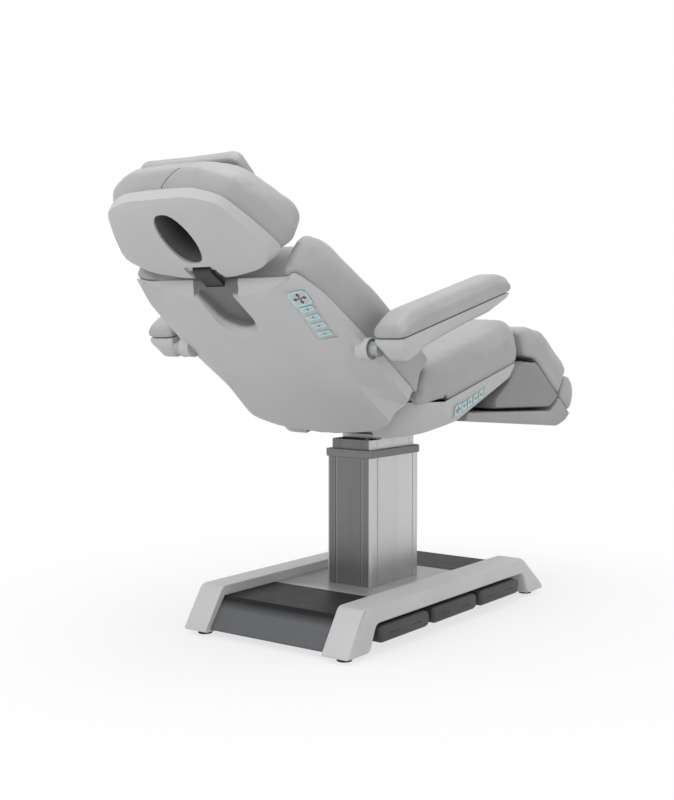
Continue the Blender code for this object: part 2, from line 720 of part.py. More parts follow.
def make_column(top, brushed, dark, steel, cover):
    low = top - COVER_THICKNESS
    outer = plan_solid("column_outer", FLOOR,
                       tube_outline(COLUMN_LENGTH, COLUMN_WIDTH, COLUMN_CORNER, GROOVE_DEPTH),
                       low, COLUMN_TOP, brushed)
    bore_length = COLUMN_LENGTH - 2 * COLUMN_WALL
    bore_width = COLUMN_WIDTH - 2 * COLUMN_WALL
    cut(outer, block("column_bore", FLOOR,
                     (COLUMN_CENTRE - bore_length / 2, COLUMN_CENTRE + bore_length / 2),
                     (-bore_width / 2, bore_width / 2), (low - OVERRUN, COLUMN_TOP + OVERRUN)))
    lift_length = bore_length - 2 * SLIDE_CLEARANCE - COLLAR_LIP
    lift_width = bore_width - 2 * SLIDE_CLEARANCE - COLLAR_LIP
    collar_low = COLUMN_TOP + GAP
    collar_high = collar_low + COLLAR_HEIGHT
    collar = plan_solid("column_collar", FLOOR,
                        tube_outline(COLUMN_LENGTH + 2 * COLLAR_LIP, COLUMN_WIDTH + 2 * COLLAR_LIP,
                                     COLUMN_CORNER), collar_low, collar_high, dark)
    cut(collar, block("collar_bore", FLOOR,
                      (COLUMN_CENTRE - lift_length / 2 - SLIDE_CLEARANCE,
                       COLUMN_CENTRE + lift_length / 2 + SLIDE_CLEARANCE),
                      (-lift_width / 2 - SLIDE_CLEARANCE, lift_width / 2 + SLIDE_CLEARANCE),
                      (collar_low - OVERRUN, collar_high + OVERRUN)))

    lift_along = COLUMN_CENTRE - LIFT_CASE_RADIUS
    case = bar("lift_actuator", (lift_along, 0, low), (lift_along, 0, LIFT_CASE_TOP),
               LIFT_CASE_RADIUS, steel)
    cut(case, bar("lift_case_bore", (lift_along, 0, low + OVERRUN),
                  (lift_along, 0, LIFT_CASE_TOP + OVERRUN), LIFT_ROD_RADIUS + SLIDE_CLEARANCE))

    inner = plan_solid("column_inner", FLOOR,
                       tube_outline(lift_length, lift_width, COLUMN_CORNER, GROOVE_DEPTH / 2),
                       LIFT_TUBE_BOTTOM, LIFT_TUBE_TOP, brushed)
    half_length = lift_length / 2 - LIFT_WALL
    half_width = lift_width / 2 - LIFT_WALL
    cut(inner, block("lift_bore", FLOOR, (COLUMN_CENTRE - half_length, COLUMN_CENTRE + half_length),
                     (-half_width, half_width),
                     (LIFT_TUBE_BOTTOM - OVERRUN, LIFT_TUBE_TOP + OVERRUN)))

    base = LIFT_TUBE_TOP + GAP
    head = block("column_head", FLOOR,
                 (COLUMN_CENTRE - HEAD_BLOCK_LENGTH / 2, COLUMN_CENTRE + HEAD_BLOCK_LENGTH / 2),
                 (-lift_width / 2, lift_width / 2), (base, base + HEAD_PLATE), steel)
    pieces = [bar("lift_rod", (lift_along, 0, LIFT_TUBE_BOTTOM + OVERRUN / 2),
                  (lift_along, 0, base + HEAD_PLATE / 2), LIFT_ROD_RADIUS)]
    ear = [(COLUMN_CENTRE - TILT_EAR_RADIUS * 1.6, base + HEAD_PLATE / 2),
           (COLUMN_CENTRE + TILT_EAR_RADIUS * 1.6, base + HEAD_PLATE / 2),
           (COLUMN_CENTRE + TILT_EAR_RADIUS, TILT_AXIS_HEIGHT),
           (COLUMN_CENTRE + TILT_EAR_RADIUS * 0.6, TILT_AXIS_HEIGHT + TILT_EAR_RADIUS * 0.7),
           (COLUMN_CENTRE - TILT_EAR_RADIUS * 0.6, TILT_AXIS_HEIGHT + TILT_EAR_RADIUS * 0.7),
           (COLUMN_CENTRE - TILT_EAR_RADIUS, TILT_AXIS_HEIGHT)]
    for side in (-1, 1):
        across = sorted((side * TILT_EAR_SPACING, side * (TILT_EAR_SPACING - EAR_THICKNESS)))
        pieces.append(profile_solid("head_ear", FLOOR, ear, *across))
    pin_end = TILT_EAR_SPACING + EAR_THICKNESS + RUNNING_GAP
    pieces.append(bar("tilt_pin", TILT_AXIS - Vector((0, pin_end, 0)),
                      TILT_AXIS + Vector((0, pin_end, 0)), TILT_PIN_RADIUS))
    join(head, *pieces)

    along = tilt_rod_along(lift_length)
    case = bar("tilt_actuator", (along, 0, TILT_CASE_BOTTOM), (along, 0, TILT_CASE_TOP),
               TILT_CASE_RADIUS, cover)
    cut(case, bar("tilt_case_bore", (along, 0, TILT_CASE_BOTTOM + OVERRUN),
                  (along, 0, TILT_CASE_TOP + OVERRUN), ACTUATOR_ROD_RADIUS + SLIDE_CLEARANCE))
    bar("tilt_rod", (along, 0, TILT_CASE_BOTTOM + 3 * OVERRUN),
        (along, 0, TILT_AXIS_HEIGHT + ACTUATOR_ROD_RADIUS), ACTUATOR_ROD_RADIUS, steel)
    return lift_length


def tilt_rod_along(lift_length):
    """The tilt actuator stands against the inner tube's front wall."""
    return COLUMN_CENTRE + lift_length / 2 - LIFT_WALL - GAP - TILT_CASE_RADIUS


# Tilt cradle and seat

def make_cradle(lift_length, steel):
    top = -SEAT_FRAME_PLATE + SEAT_FRAME_TOP - GAP
    low = -CRADLE_DEPTH
    floor = low + EAR_THICKNESS
    half_length = CRADLE_LENGTH / 2
    half_width = CRADLE_WIDTH / 2
    cradle = block("tilt_cradle", SEAT, (-half_length, half_length), (-half_width, half_width),
                   (low, floor), steel)
    axis_along, axis_up = SEAT.where(TILT_AXIS)
    pieces = []
    for side in (-1, 1):
        across = sorted((side * half_width, side * (half_width - EAR_THICKNESS)))
        pieces.append(block("cradle_runner", SEAT, (-half_length, half_length), across,
                            (low + EAR_THICKNESS / 2, top)))
        ear_low = TILT_EAR_SPACING + GAP
        across = sorted((side * ear_low, side * (ear_low + EAR_THICKNESS)))
        ear = [(axis_along - TILT_EAR_RADIUS * 1.8, low + EAR_THICKNESS / 2),
               (axis_along + TILT_EAR_RADIUS * 1.8, low + EAR_THICKNESS / 2),
               (axis_along + TILT_EAR_RADIUS, axis_up),
               (axis_along + TILT_EAR_RADIUS * 0.6, axis_up - TILT_EAR_RADIUS * 0.8),
               (axis_along - TILT_EAR_RADIUS * 0.6, axis_up - TILT_EAR_RADIUS * 0.8),
               (axis_along - TILT_EAR_RADIUS, axis_up)]
        pieces.append(profile_solid("cradle_ear", SEAT, ear, *across))
    rod_along, rod_up = SEAT.where((tilt_rod_along(lift_length), 0, TILT_AXIS_HEIGHT))
    fork = ACTUATOR_ROD_RADIUS + RUNNING_GAP / 3
    for side in (-1, 1):
        across = sorted((side * fork, side * (fork + EAR_THICKNESS)))
        lug = [(rod_along - TILT_EAR_RADIUS, low + EAR_THICKNESS / 2),
               (rod_along + TILT_EAR_RADIUS, low + EAR_THICKNESS / 2),
               (rod_along + TILT_EAR_RADIUS * 0.7, rod_up - TILT_EAR_RADIUS * 0.6),
               (rod_along - TILT_EAR_RADIUS * 0.7, rod_up - TILT_EAR_RADIUS * 0.6)]
        pieces.append(profile_solid("cradle_lug", SEAT, lug, *across))
    join(cradle, *pieces)
    reach = TILT_EAR_SPACING + EAR_THICKNESS + OVERRUN
    cut(cradle, bar("tilt_bore", TILT_AXIS - Vector((0, reach, 0)),
                    TILT_AXIS + Vector((0, reach, 0)), TILT_PIN_RADIUS + GAP))


def seat_outline():
    """The seat's side profile; its rear end turns about the back hinge."""
    profile = rounded(sized(SEAT_SHARES, SEAT_LENGTH, SEAT_PAD), PADDING_ROUND * 0.6)
    start = math.atan2(SEAT_PAD * SEAT_SHARES[-1][1], -SEAT_LENGTH * 0.02)
    end = math.atan2(SEAT_PAD * SEAT_SHARES[0][1] * 1.70, -SEAT_LENGTH * 0.31)
    arc = []
    count = 5
    for index in range(count + 1):
        turn = start + (end - start) * index / count
        arc.append((-BACK_HINGE_SETBACK + SEAT_REAR_RADIUS * math.cos(turn),
                    SEAT_REAR_RADIUS * math.sin(turn)))
    return profile[CORNER_STEPS + 1:-CORNER_STEPS - 1] + arc


def make_seat(steel, shell, pad, cover, dark):
    frame_low = SEAT_FRAME_TOP - SEAT_FRAME_PLATE
    half = SEAT_SHELL_WIDTH / 2
    frame = block("seat_frame", SEAT,
                  (-BACK_HINGE_SETBACK + HINGE_TUBE_RADIUS * 2, SEAT_LENGTH * 0.86),
                  (SEAT_FRAME_MARGIN - half, half - SEAT_FRAME_MARGIN), (frame_low, SEAT_FRAME_TOP), steel)
    pieces = []
    rail_inner = CRADLE_WIDTH / 2 + GAP * 2
    ear_inner = HINGE_TUBE_LENGTH / 2 + GAP
    eye = HINGE_TUBE_RADIUS
    for side in (-1, 1):
        across = sorted((side * rail_inner, side * (rail_inner + EAR_THICKNESS)))
        pieces.append(block("seat_rail", SEAT, (-CRADLE_LENGTH * 0.45, CRADLE_LENGTH * 0.9), across,
                            (frame_low - SEAT_RAIL_DEPTH, frame_low + SEAT_FRAME_PLATE / 2)))
        across = sorted((side * ear_inner, side * (ear_inner + EAR_THICKNESS)))
        ear = [(-BACK_HINGE_SETBACK - eye * 1.3, -eye), (-BACK_HINGE_SETBACK - eye * 1.3, eye * 0.5),
               (-BACK_HINGE_SETBACK - eye * 0.6, eye * 1.15), (-BACK_HINGE_SETBACK + eye * 0.6, eye * 1.15),
               (-BACK_HINGE_SETBACK + eye * 3, SEAT_FRAME_TOP - GAP), (-BACK_HINGE_SETBACK + eye * 5, frame_low),
               (-BACK_HINGE_SETBACK + eye * 4, -eye * 2), (-BACK_HINGE_SETBACK, -eye * 2)]
        pieces.append(profile_solid("back_hinge_ear", SEAT, ear, *across))
        knee = EAR_THICKNESS * 19
        across = sorted((side * knee, side * (knee + EAR_THICKNESS)))
        pieces.append(profile_solid("knee_ear", SEAT, knee_ear_outline(frame_low), *across))
        pin = [side * (knee + EAR_THICKNESS / 2), side * (knee + EAR_THICKNESS * 2)]
        pieces.append(bar("knee_pin", LEG.at(0, pin[0], 0), LEG.at(0, pin[1], 0), HINGE_PIN_RADIUS))
    join(frame, *pieces)
    reach = ear_inner + EAR_THICKNESS + OVERRUN
    cut(frame, bar("back_hinge_bore", BACK.at(0, -reach, 0), BACK.at(0, -ear_inner + GAP, 0),
                   HINGE_PIN_RADIUS + GAP),
        bar("back_hinge_bore_left", BACK.at(0, reach, 0), BACK.at(0, ear_inner - GAP, 0),
            HINGE_PIN_RADIUS + GAP))

    make_seat_shell(shell)
    cushion("seat_cushion", SEAT, seat_outline(), SEAT_WIDTH / 2, PADDING_ROUND, SEAT_PAD * 0.05, pad)
    box_low = -SEAT_DEPTH * 0.38
    block("control_box", SEAT, (SEAT_LENGTH * 0.60, SEAT_LENGTH * 0.82),
          (-CRADLE_WIDTH * 0.46, CRADLE_WIDTH * 0.46), (box_low, frame_low - GAP), cover)


def knee_ear_outline(frame_low):
    """A plate that runs under the cushion's nose and up to the knee pin in front of it."""
    ahead = KNEE_AHEAD
    high = KNEE_ABOVE
    eye = HINGE_PIN_RADIUS * 2
    under = SEAT_RAIL_DEPTH * 0.65
    return [(SEAT_LENGTH * 0.80, frame_low - under), (ahead - eye * 1.2, frame_low - under * 0.7),
            (ahead + eye, high * 0.25), (ahead + eye, high), (ahead + eye * 0.5, high + eye * 0.85),
            (ahead - eye * 0.5, high + eye * 0.85), (ahead - eye, high), (ahead - eye, high * 0.40),
            (ahead - eye * 2, high * 0.12), (SEAT_LENGTH * 0.86, SEAT_FRAME_TOP - GAP),
            (SEAT_LENGTH * 0.80, frame_low + SEAT_FRAME_PLATE / 2)]


def seat_keel_height(along, across):
    return SEAT_DEPTH * between(SEAT_KEEL_HEIGHT_SHARES, along / SEAT_LENGTH)


def seat_rim_height(along, across):
    return SEAT_DEPTH * between(SEAT_RIM_HEIGHT_SHARES, along / SEAT_LENGTH)


def make_seat_shell(shell):
    setback = PADDING_ROUND
    rim = sized(SEAT_RIM_SHARES, SEAT_LENGTH, SEAT_SHELL_WIDTH / 2)
    keel = sized(SEAT_KEEL_SHARES, SEAT_LENGTH, SEAT_KEEL_WIDTH / 2)
    wall = SHELL_WALL
    inner_share = 1 - 2 * wall / SEAT_KEEL_WIDTH
    rim_share = 1 - 3 * wall / SEAT_SHELL_WIDTH
    lip = wall * 2
    middle = SEAT_LENGTH * 0.16
    rings = [plan_ring(SEAT, keel, setback, seat_keel_height, inner_share * 0.5, middle, wall),
             plan_ring(SEAT, keel, setback, seat_keel_height, inner_share * 0.97, middle, wall),
             plan_ring(SEAT, rim, setback, seat_rim_height, rim_share, middle, -lip),
             plan_ring(SEAT, rim, setback, seat_rim_height, rim_share, middle),
             plan_ring(SEAT, rim, setback, seat_rim_height),
             plan_ring(SEAT, rim, setback, seat_rim_height, lift=-lip),
             plan_ring(SEAT, keel, setback, seat_keel_height),
             plan_ring(SEAT, keel, setback, seat_keel_height, 0.5, middle)]
    tray = loft("seat_shell", rings, shell)
    slot = BACK_ARM_SPACING + EAR_THICKNESS
    cut(tray,
        block("cradle_opening", SEAT, (-SEAT_LENGTH, SEAT_LENGTH * 0.56), (-slot, slot),
              (-SEAT_DEPTH * 2, SEAT_DEPTH * 2)),
        block("knee_opening", SEAT, (SEAT_LENGTH * 0.88, SEAT_LENGTH * 1.1),
              (-EAR_THICKNESS * 22, EAR_THICKNESS * 22), (-SEAT_DEPTH * 0.36, SEAT_DEPTH)))


def make_seat_actuators(steel, cover):
    """Two straight actuators lie in the seat shell: one lifts the back, one the leg rest."""
    lever = BACK.at(0, LEVER_ACROSS, 0) + lever_offset()
    start = SEAT.at(SEAT_LENGTH * 0.64, LEVER_ACROSS, -SEAT_DEPTH * 0.30)
    actuator("back", start, lever, 0.57, 0.18, steel, cover)
    foot = LEG.at(LEG_LEVER_ALONG, -LEVER_ACROSS, -LEG_LEVER_DROP)
    start = SEAT.at(-SEAT_LENGTH * 0.20, -LEVER_ACROSS, -SEAT_DEPTH * 0.68)
    actuator("leg", start, foot, 0.55, 0.22, steel, cover)


def lever_offset():
    """From the back hinge to the back lever's eye, straight down at mid recline."""
    turn = LEVER_START
    return SEAT.along * (-LEVER_RADIUS * math.sin(turn)) + SEAT.up * (-LEVER_RADIUS * math.cos(turn))


def actuator(label, start, eye, mouth_share, inside_share, steel, cover):
    """A case from its start to its mouth, and a rod from inside it to the lever's eye."""
    run = eye - start
    mouth = start + run * mouth_share
    case = bar(label + "_actuator", start, mouth, ACTUATOR_RADIUS, cover)
    tail = run.normalized()
    cut(case, bar(label + "_case_bore", start + tail * OVERRUN / 2, mouth + tail * OVERRUN,
                  ACTUATOR_ROD_RADIUS + SLIDE_CLEARANCE))
    bar(label + "_rod", start + run * (inside_share + 0.06), eye + tail * ACTUATOR_ROD_RADIUS,
        ACTUATOR_ROD_RADIUS, steel)


# Back

def back_outline(shares):
    """The back's side profile; its lower end turns about the back hinge."""
    height = BACK_PAD
    upper = [(along, up - BACK_PAD_DROP) for along, up in sized(shares, BACK_LENGTH, height)]
    tip = math.asin((height * 0.80 - BACK_PAD_DROP) / BACK_END_RADIUS)
    low = math.asin(-BACK_PAD_DROP / BACK_END_RADIUS)
    arc = []
    count = 5
    for index in range(count + 1):
        turn = low + (tip - low) * index / count
        arc.append((BACK_END_RADIUS * math.cos(turn), BACK_END_RADIUS * math.sin(turn)))
    path = rounded([arc[-1]] + upper + [arc[0]], PADDING_ROUND)
    return arc + path[CORNER_STEPS + 1:-CORNER_STEPS - 1]


def back_face_height(along, across):
    """The back shell's rear surface, crowned across, with its lower end curled in."""
    share = along / BACK_LENGTH
    line = BACK_DEPTH * between(BACK_FACE_HEIGHT_SHARES, share)
    crown = BACK_CROWN * between(BACK_CROWN_SHARES, share)
    return line + crown * (across / (BACK_SHELL_WIDTH * 0.405)) ** 2


def make_back_shell(shell):
    setback = PADDING_ROUND
    half = BACK_SHELL_WIDTH / 2
    rim = sized(BACK_RIM_SHARES, BACK_LENGTH, half, BACK_DEPTH)
    waist = sized(BACK_WAIST_SHARES, BACK_LENGTH, half, BACK_DEPTH)
    face = sized(BACK_FACE_SHARES, BACK_LENGTH, half)
    middle = BACK_LENGTH * 0.47
    rings = [plan_ring(BACK, rim, setback), plan_ring(BACK, waist, setback),
             plan_ring(BACK, face, setback, back_face_height)]
    for scale in (0.91, 0.835, 0.55, 0.25):
        rings.append(plan_ring(BACK, face, setback, back_face_height, scale, middle))
    back = loft("back_shell", rings, shell)
    wall = SHELL_WALL
    hollow = [plan_ring(BACK, rim, setback, None, 0.965, middle, OVERRUN),
              plan_ring(BACK, rim, setback, None, 0.965, middle, -wall * 2),
              plan_ring(BACK, waist, setback, None, 0.955, middle, wall),
              plan_ring(BACK, face, setback, back_face_height, 0.93, middle, wall * 1.8),
              plan_ring(BACK, face, setback, back_face_height, 0.80, middle, wall * 1.5),
              plan_ring(BACK, face, setback, back_face_height, 0.40, middle, wall * 1.5)]
    cavity = loft("back_cavity", hollow)
    cut(cavity, trough_tool("trough_block", wall))
    for side in (-1, 1):
        across = sorted((side * half * 0.93, side * ARM_BOSS_REACH))
        outline = circle((ARM_PIVOT_ALONG, -ARM_PIVOT_DROP), ARM_BOSS_RADIUS)
        join(back, profile_solid("arm_boss", BACK, outline, *across))
    cut(back, cavity, trough_tool("trough", 0))
    arm_inner = BACK_ARM_SPACING - EAR_THICKNESS - RUNNING_GAP
    for side in (-1, 1):
        across = sorted((side * arm_inner, side * (BACK_ARM_SPACING + RUNNING_GAP)))
        cut(back, block("arm_slot", BACK, (-OVERRUN, BACK_END_RADIUS * 1.25), across,
                        (-BACK_DEPTH * 0.89, OVERRUN)))
    bar_half = HEAD_BAR_WIDTH / 2 + RUNNING_GAP / 2
    cut(back, block("bar_slot", BACK, (BACK_LENGTH * 0.90, BACK_LENGTH + OVERRUN),
                    (-bar_half, bar_half),
                    (head_bar_low() - RUNNING_GAP / 2, head_bar_low() + HEAD_BAR_THICKNESS + OVERRUN)))
    return back


def head_bar_low():
    return -BACK_RIM_DROP - HEAD_BAR_THICKNESS * 1.5


def trough_tool(name, grow):
    """The recess down the middle of the back shell: sloped walls, flat floor, round end."""
    floor = -TROUGH_FLOOR + grow
    mouth = -BACK_DEPTH
    end = BACK_LENGTH * 0.92 - TROUGH_LENGTH
    rings = []
    for up, half, start in ((floor, TROUGH_WIDTH * 0.36 + grow, end + OVERRUN - grow),
                            (mouth, TROUGH_WIDTH * 0.66 + grow, end - OVERRUN * 0.9 - grow)):
        corners = [(BACK_LENGTH + OVERRUN, -half)]
        for step in range(9):
            turn = math.pi / 2 + math.pi * step / 8
            corners.append((start + half + half * math.cos(turn), half * math.sin(-turn)))
        corners.append((BACK_LENGTH + OVERRUN, half))
        rings.append([BACK.at(along, across, up) for along, across in corners])
    return loft(name, rings)


def make_back_frame(steel):
    """Hinge tube, two swan-neck arms, cross plate, head rest socket and actuator lever."""
    tube = bar("back_frame", BACK.at(0, -HINGE_TUBE_LENGTH / 2, 0), BACK.at(0, HINGE_TUBE_LENGTH / 2, 0),
               HINGE_TUBE_RADIUS, steel)
    pieces = []
    pin = HINGE_TUBE_LENGTH / 2 + EAR_THICKNESS
    pieces.append(bar("back_hinge_pin", BACK.at(0, -pin, 0), BACK.at(0, pin, 0), HINGE_PIN_RADIUS))
    eye = HINGE_TUBE_RADIUS * 1.2
    far = BACK_LENGTH * 0.86
    under = -BACK_PAD_DROP - RUNNING_GAP
    arm = [(-eye * 0.5, eye * 0.5), (-eye, -eye * 0.5), (BACK_LENGTH * 0.068, -BACK_DEPTH * 0.76),
           (BACK_LENGTH * 0.095, -BACK_DEPTH * 0.86), (BACK_LENGTH * 0.30, -BACK_DEPTH * 0.72),
           (far, -BACK_DEPTH * 0.43), (far, under), (BACK_LENGTH * 0.30, under),
           (BACK_LENGTH * 0.135, -BACK_DEPTH * 0.60), (BACK_LENGTH * 0.066, -BACK_DEPTH * 0.46),
           (eye * 0.9, -eye * 0.3), (eye * 0.5, eye * 0.6)]
    for side in (-1, 1):
        across = sorted((side * BACK_ARM_SPACING, side * (BACK_ARM_SPACING - EAR_THICKNESS * 0.7)))
        pieces.append(profile_solid("back_arm", BACK, arm, *across))
    down = lever_offset()
    along = down.dot(BACK.along)
    up = down.dot(BACK.up)
    tangent = Vector((-up, along)).normalized() * eye
    lever = [(tangent.x, tangent.y), (along + tangent.x * 0.8, up + tangent.y * 0.8),
             (along * 1.22, up * 1.22), (along - tangent.x * 0.8, up - tangent.y * 0.8),
             (-tangent.x, -tangent.y)]
    fork = ACTUATOR_ROD_RADIUS + RUNNING_GAP / 3
    for side in (-1, 1):
        across = sorted((LEVER_ACROSS + side * fork, LEVER_ACROSS + side * (fork + EAR_THICKNESS * 0.6)))
        pieces.append(profile_solid("back_lever", BACK, lever, *across))
    plate_low = head_bar_low()
    plate_high = plate_low + HEAD_BAR_THICKNESS
    sleeve = HEAD_BAR_WIDTH / 2 + GAP * 2
    inner = BACK_ARM_SPACING - EAR_THICKNESS * 0.35
    for side in (-1, 1):
        across = sorted((side * sleeve, side * inner))
        pieces.append(block("head_guide", BACK, (BACK_LENGTH * 0.52, BACK_LENGTH * 0.84), across,
                            (plate_low, plate_high)))
    pieces.append(block("guide_bridge", BACK, (BACK_LENGTH * 0.38, BACK_LENGTH * 0.47),
                        (-inner, inner), (plate_low, plate_high)))
    pieces.append(block("guide_floor", BACK, (BACK_LENGTH * 0.38, BACK_LENGTH * 0.56),
                        (-inner, inner), (plate_low - SHELL_WALL, plate_low - GAP)))
    join(tube, *pieces)


def make_back(shell, pad, steel):
    make_back_shell(shell)
    make_back_frame(steel)
    cushion("back_cushion", BACK, back_outline(BACK_SHARES), BACK_WIDTH / 2, PADDING_ROUND,
            BACK_PAD * 0.04, pad, ears=back_outline(BACK_EAR_SHARES), taper=BACK_TAPER)


# Head rest

def head_hinge():
    return HEAD.at(HEAD_LENGTH * 0.867, 0, HEAD_SHELL / 3)


def make_head(shell, pad, steel):
    half = HEAD_WIDTH / 2
    face = sized(HEAD_FACE_SHARES, HEAD_LENGTH, half)
    seam = sized(HEAD_SEAM_SHARES, HEAD_LENGTH, half)
    bulge = sized(HEAD_BULGE_SHARES, HEAD_LENGTH, half)
    crest = sized(HEAD_TOP_SHARES, HEAD_LENGTH, half)
    setback = PADDING_ROUND
    middle = HEAD_LENGTH * 0.40
    edge = HEAD_SHELL * 0.20

    def flat(value):
        return lambda along, across: value

    rings = [plan_ring(HEAD, face, setback, flat(-edge), 0.45, middle),
             plan_ring(HEAD, face, setback, flat(-edge * 0.6), 0.80, middle),
             plan_ring(HEAD, face, setback, flat(edge)),
             plan_ring(HEAD, seam, setback, flat(HEAD_SHELL - GAP))]
    head = loft("headrest_shell", rings, shell)
    hole_middle = HEAD_HOLE_LENGTH * 0.53
    turns = [2 * math.pi * (index + 0.5) / 28 for index in range(28)]
    oval = [(hole_middle + HEAD_HOLE_LENGTH / 2 * math.cos(turn),
             HEAD_HOLE_WIDTH / 2 * math.copysign(abs(math.sin(turn)) ** 0.8, math.sin(turn)))
            for turn in turns]
    notch = HEAD_HOLE_WIDTH / 2
    neck = HEAD_LENGTH * 0.79
    cut(head, plan_solid("face_hole", HEAD, oval, -OVERRUN, HEAD_SHELL + OVERRUN),
        block("neck_notch", HEAD, (neck, HEAD_LENGTH + OVERRUN), (-notch, notch),
              (-OVERRUN, HEAD_SHELL - RUNNING_GAP)))
    hinge_along, hinge_up = HEAD.where(head_hinge())
    ear_inner = HEAD_BAR_WIDTH / 2 + GAP
    for side in (-1, 1):
        across = sorted((side * ear_inner, side * (notch + RUNNING_GAP)))
        lug = [(neck - RUNNING_GAP, hinge_up - HEAD_EYE_RADIUS * 0.8),
               (hinge_along, hinge_up - HEAD_EYE_RADIUS * 0.8),
               (hinge_along + HEAD_EYE_RADIUS * 0.8, hinge_up), (hinge_along, hinge_up + HEAD_EYE_RADIUS * 0.8),
               (neck - RUNNING_GAP, hinge_up + HEAD_EYE_RADIUS * 0.8)]
        join(head, profile_solid("head_lug", HEAD, lug, *across))
    join(head, bar("head_pin", head_hinge() - Vector((0, notch, 0)), head_hinge() + Vector((0, notch, 0)),
                   HEAD_PIN_RADIUS))

    top = HEAD_SHELL + HEAD_PAD
    rings = [plan_ring(HEAD, seam, setback, flat(HEAD_SHELL), 0.97, middle),
             plan_ring(HEAD, seam, setback, flat(HEAD_SHELL + HEAD_PAD * 0.08)),
             plan_ring(HEAD, bulge, setback, flat(HEAD_SHELL + HEAD_PAD * 0.42)),
             plan_ring(HEAD, crest, setback, flat(top - HEAD_PAD * 0.16), 1.03, middle),
             plan_ring(HEAD, crest, setback, flat(top - HEAD_PAD * 0.03), 0.96, middle),
             plan_ring(HEAD, crest, setback, flat(top), 0.80, middle)]
    head_pad = loft("headrest_cushion", rings, pad)
    cut(head_pad, plan_solid("face_hole_in_pad", HEAD, oval, 0, top + OVERRUN))

    start = -HEAD_LENGTH * 0.13
    outline = rectangle(start, start + PILLOW_LENGTH, -PILLOW_WIDTH / 2, PILLOW_WIDTH / 2)
    shape = rounded(outline, PILLOW_THICKNESS, 3)
    rings = []
    for share, depth in ((0.0, 0.12), (0.25, 0.0), (0.65, 0.0), (0.92, 0.22), (1.0, 0.55)):
        ring = inset(shape, PILLOW_THICKNESS * depth)
        rings.append([HEAD.at(along, across, top + GAP + PILLOW_THICKNESS * share)
                      for along, across in ring])
    loft("headrest_pillow", rings, pad)

    low = head_bar_low()
    high = low + HEAD_BAR_THICKNESS
    hinge = head_hinge()
    end_along, end_up = BACK.where(hinge)
    eye = HEAD_EYE_RADIUS
    start = BACK_LENGTH * 0.98 - HEAD_BAR_LENGTH
    outline = [(start, low), (end_along, low - eye * 0.2), (end_along + eye, end_up - eye * 0.5),
               (end_along + eye, end_up + eye * 0.5), (end_along + eye * 0.4, end_up + eye),
               (end_along - eye * 0.4, end_up + eye * 0.9), (end_along - eye * 1.1, high),
               (start, high)]
    outline[1] = (end_along + eye * 0.4, min(low, end_up - eye))
    slide = profile_solid("headrest_bar", BACK, outline, -HEAD_BAR_WIDTH / 2, HEAD_BAR_WIDTH / 2, steel)
    cut(slide, bar("head_bore", hinge - Vector((0, HEAD_BAR_WIDTH, 0)),
                   hinge + Vector((0, HEAD_BAR_WIDTH, 0)), HEAD_PIN_RADIUS + GAP))


# Armrests

def make_armrests(shell, pad, steel):
    seam = ARM_DEPTH * 0.46
    pad_profile = [(along, seam + GAP + up) for along, up in sized(ARM_PAD_SHARES, ARM_LENGTH, ARM_PAD)]
    shell_profile = [(along, seam + up) for along, up in sized(ARM_SHELL_SHARES, ARM_LENGTH, ARM_DEPTH)]
    for side, label in ((1, "left"), (-1, "right")):
        centre = side * ARM_SPACING
        cushion("armrest_cushion_" + label, ARM, rounded(pad_profile, ARM_PAD / 3), ARM_WIDTH / 2,
                ARM_PAD / 3, ARM_PAD * 0.06, pad, centre)
        outline = rounded(shell_profile, ARM_PAD / 6)
        rows = [(-share, depth) for share, depth in ARM_KEEL_SHARES] + list(reversed(ARM_KEEL_SHARES))
        rings = []
        for share, depth in rows:
            across = centre + ARM_WIDTH * 0.43 * share
            rings.append([ARM.at(along, across, seam + (up - seam) * depth) for along, up in outline])
        loft("armrest_shell_" + label, rings, shell)
        start = side * (ARM_BOSS_REACH + GAP)
        inner = side * (ARM_SPACING - ARM_WIDTH * 0.43 - GAP)
        pivot = bar("armrest_pivot_" + label, ARM.at(0, start, 0), ARM.at(0, inner, 0), ARM_PIN_RADIUS, steel)
        tongue = [(0, -ARM_PIN_RADIUS * 0.7), (ARM_PIN_RADIUS * 2.2, -ARM_PIN_RADIUS * 0.55),
                  (ARM_PIN_RADIUS * 2.2, ARM_PIN_RADIUS * 0.55), (0, ARM_PIN_RADIUS * 0.7)]
        across = sorted((start + side * RUNNING_GAP * 2, inner))
        join(pivot, profile_solid("arm_tongue", ARM, tongue, *across))


# Leg rest

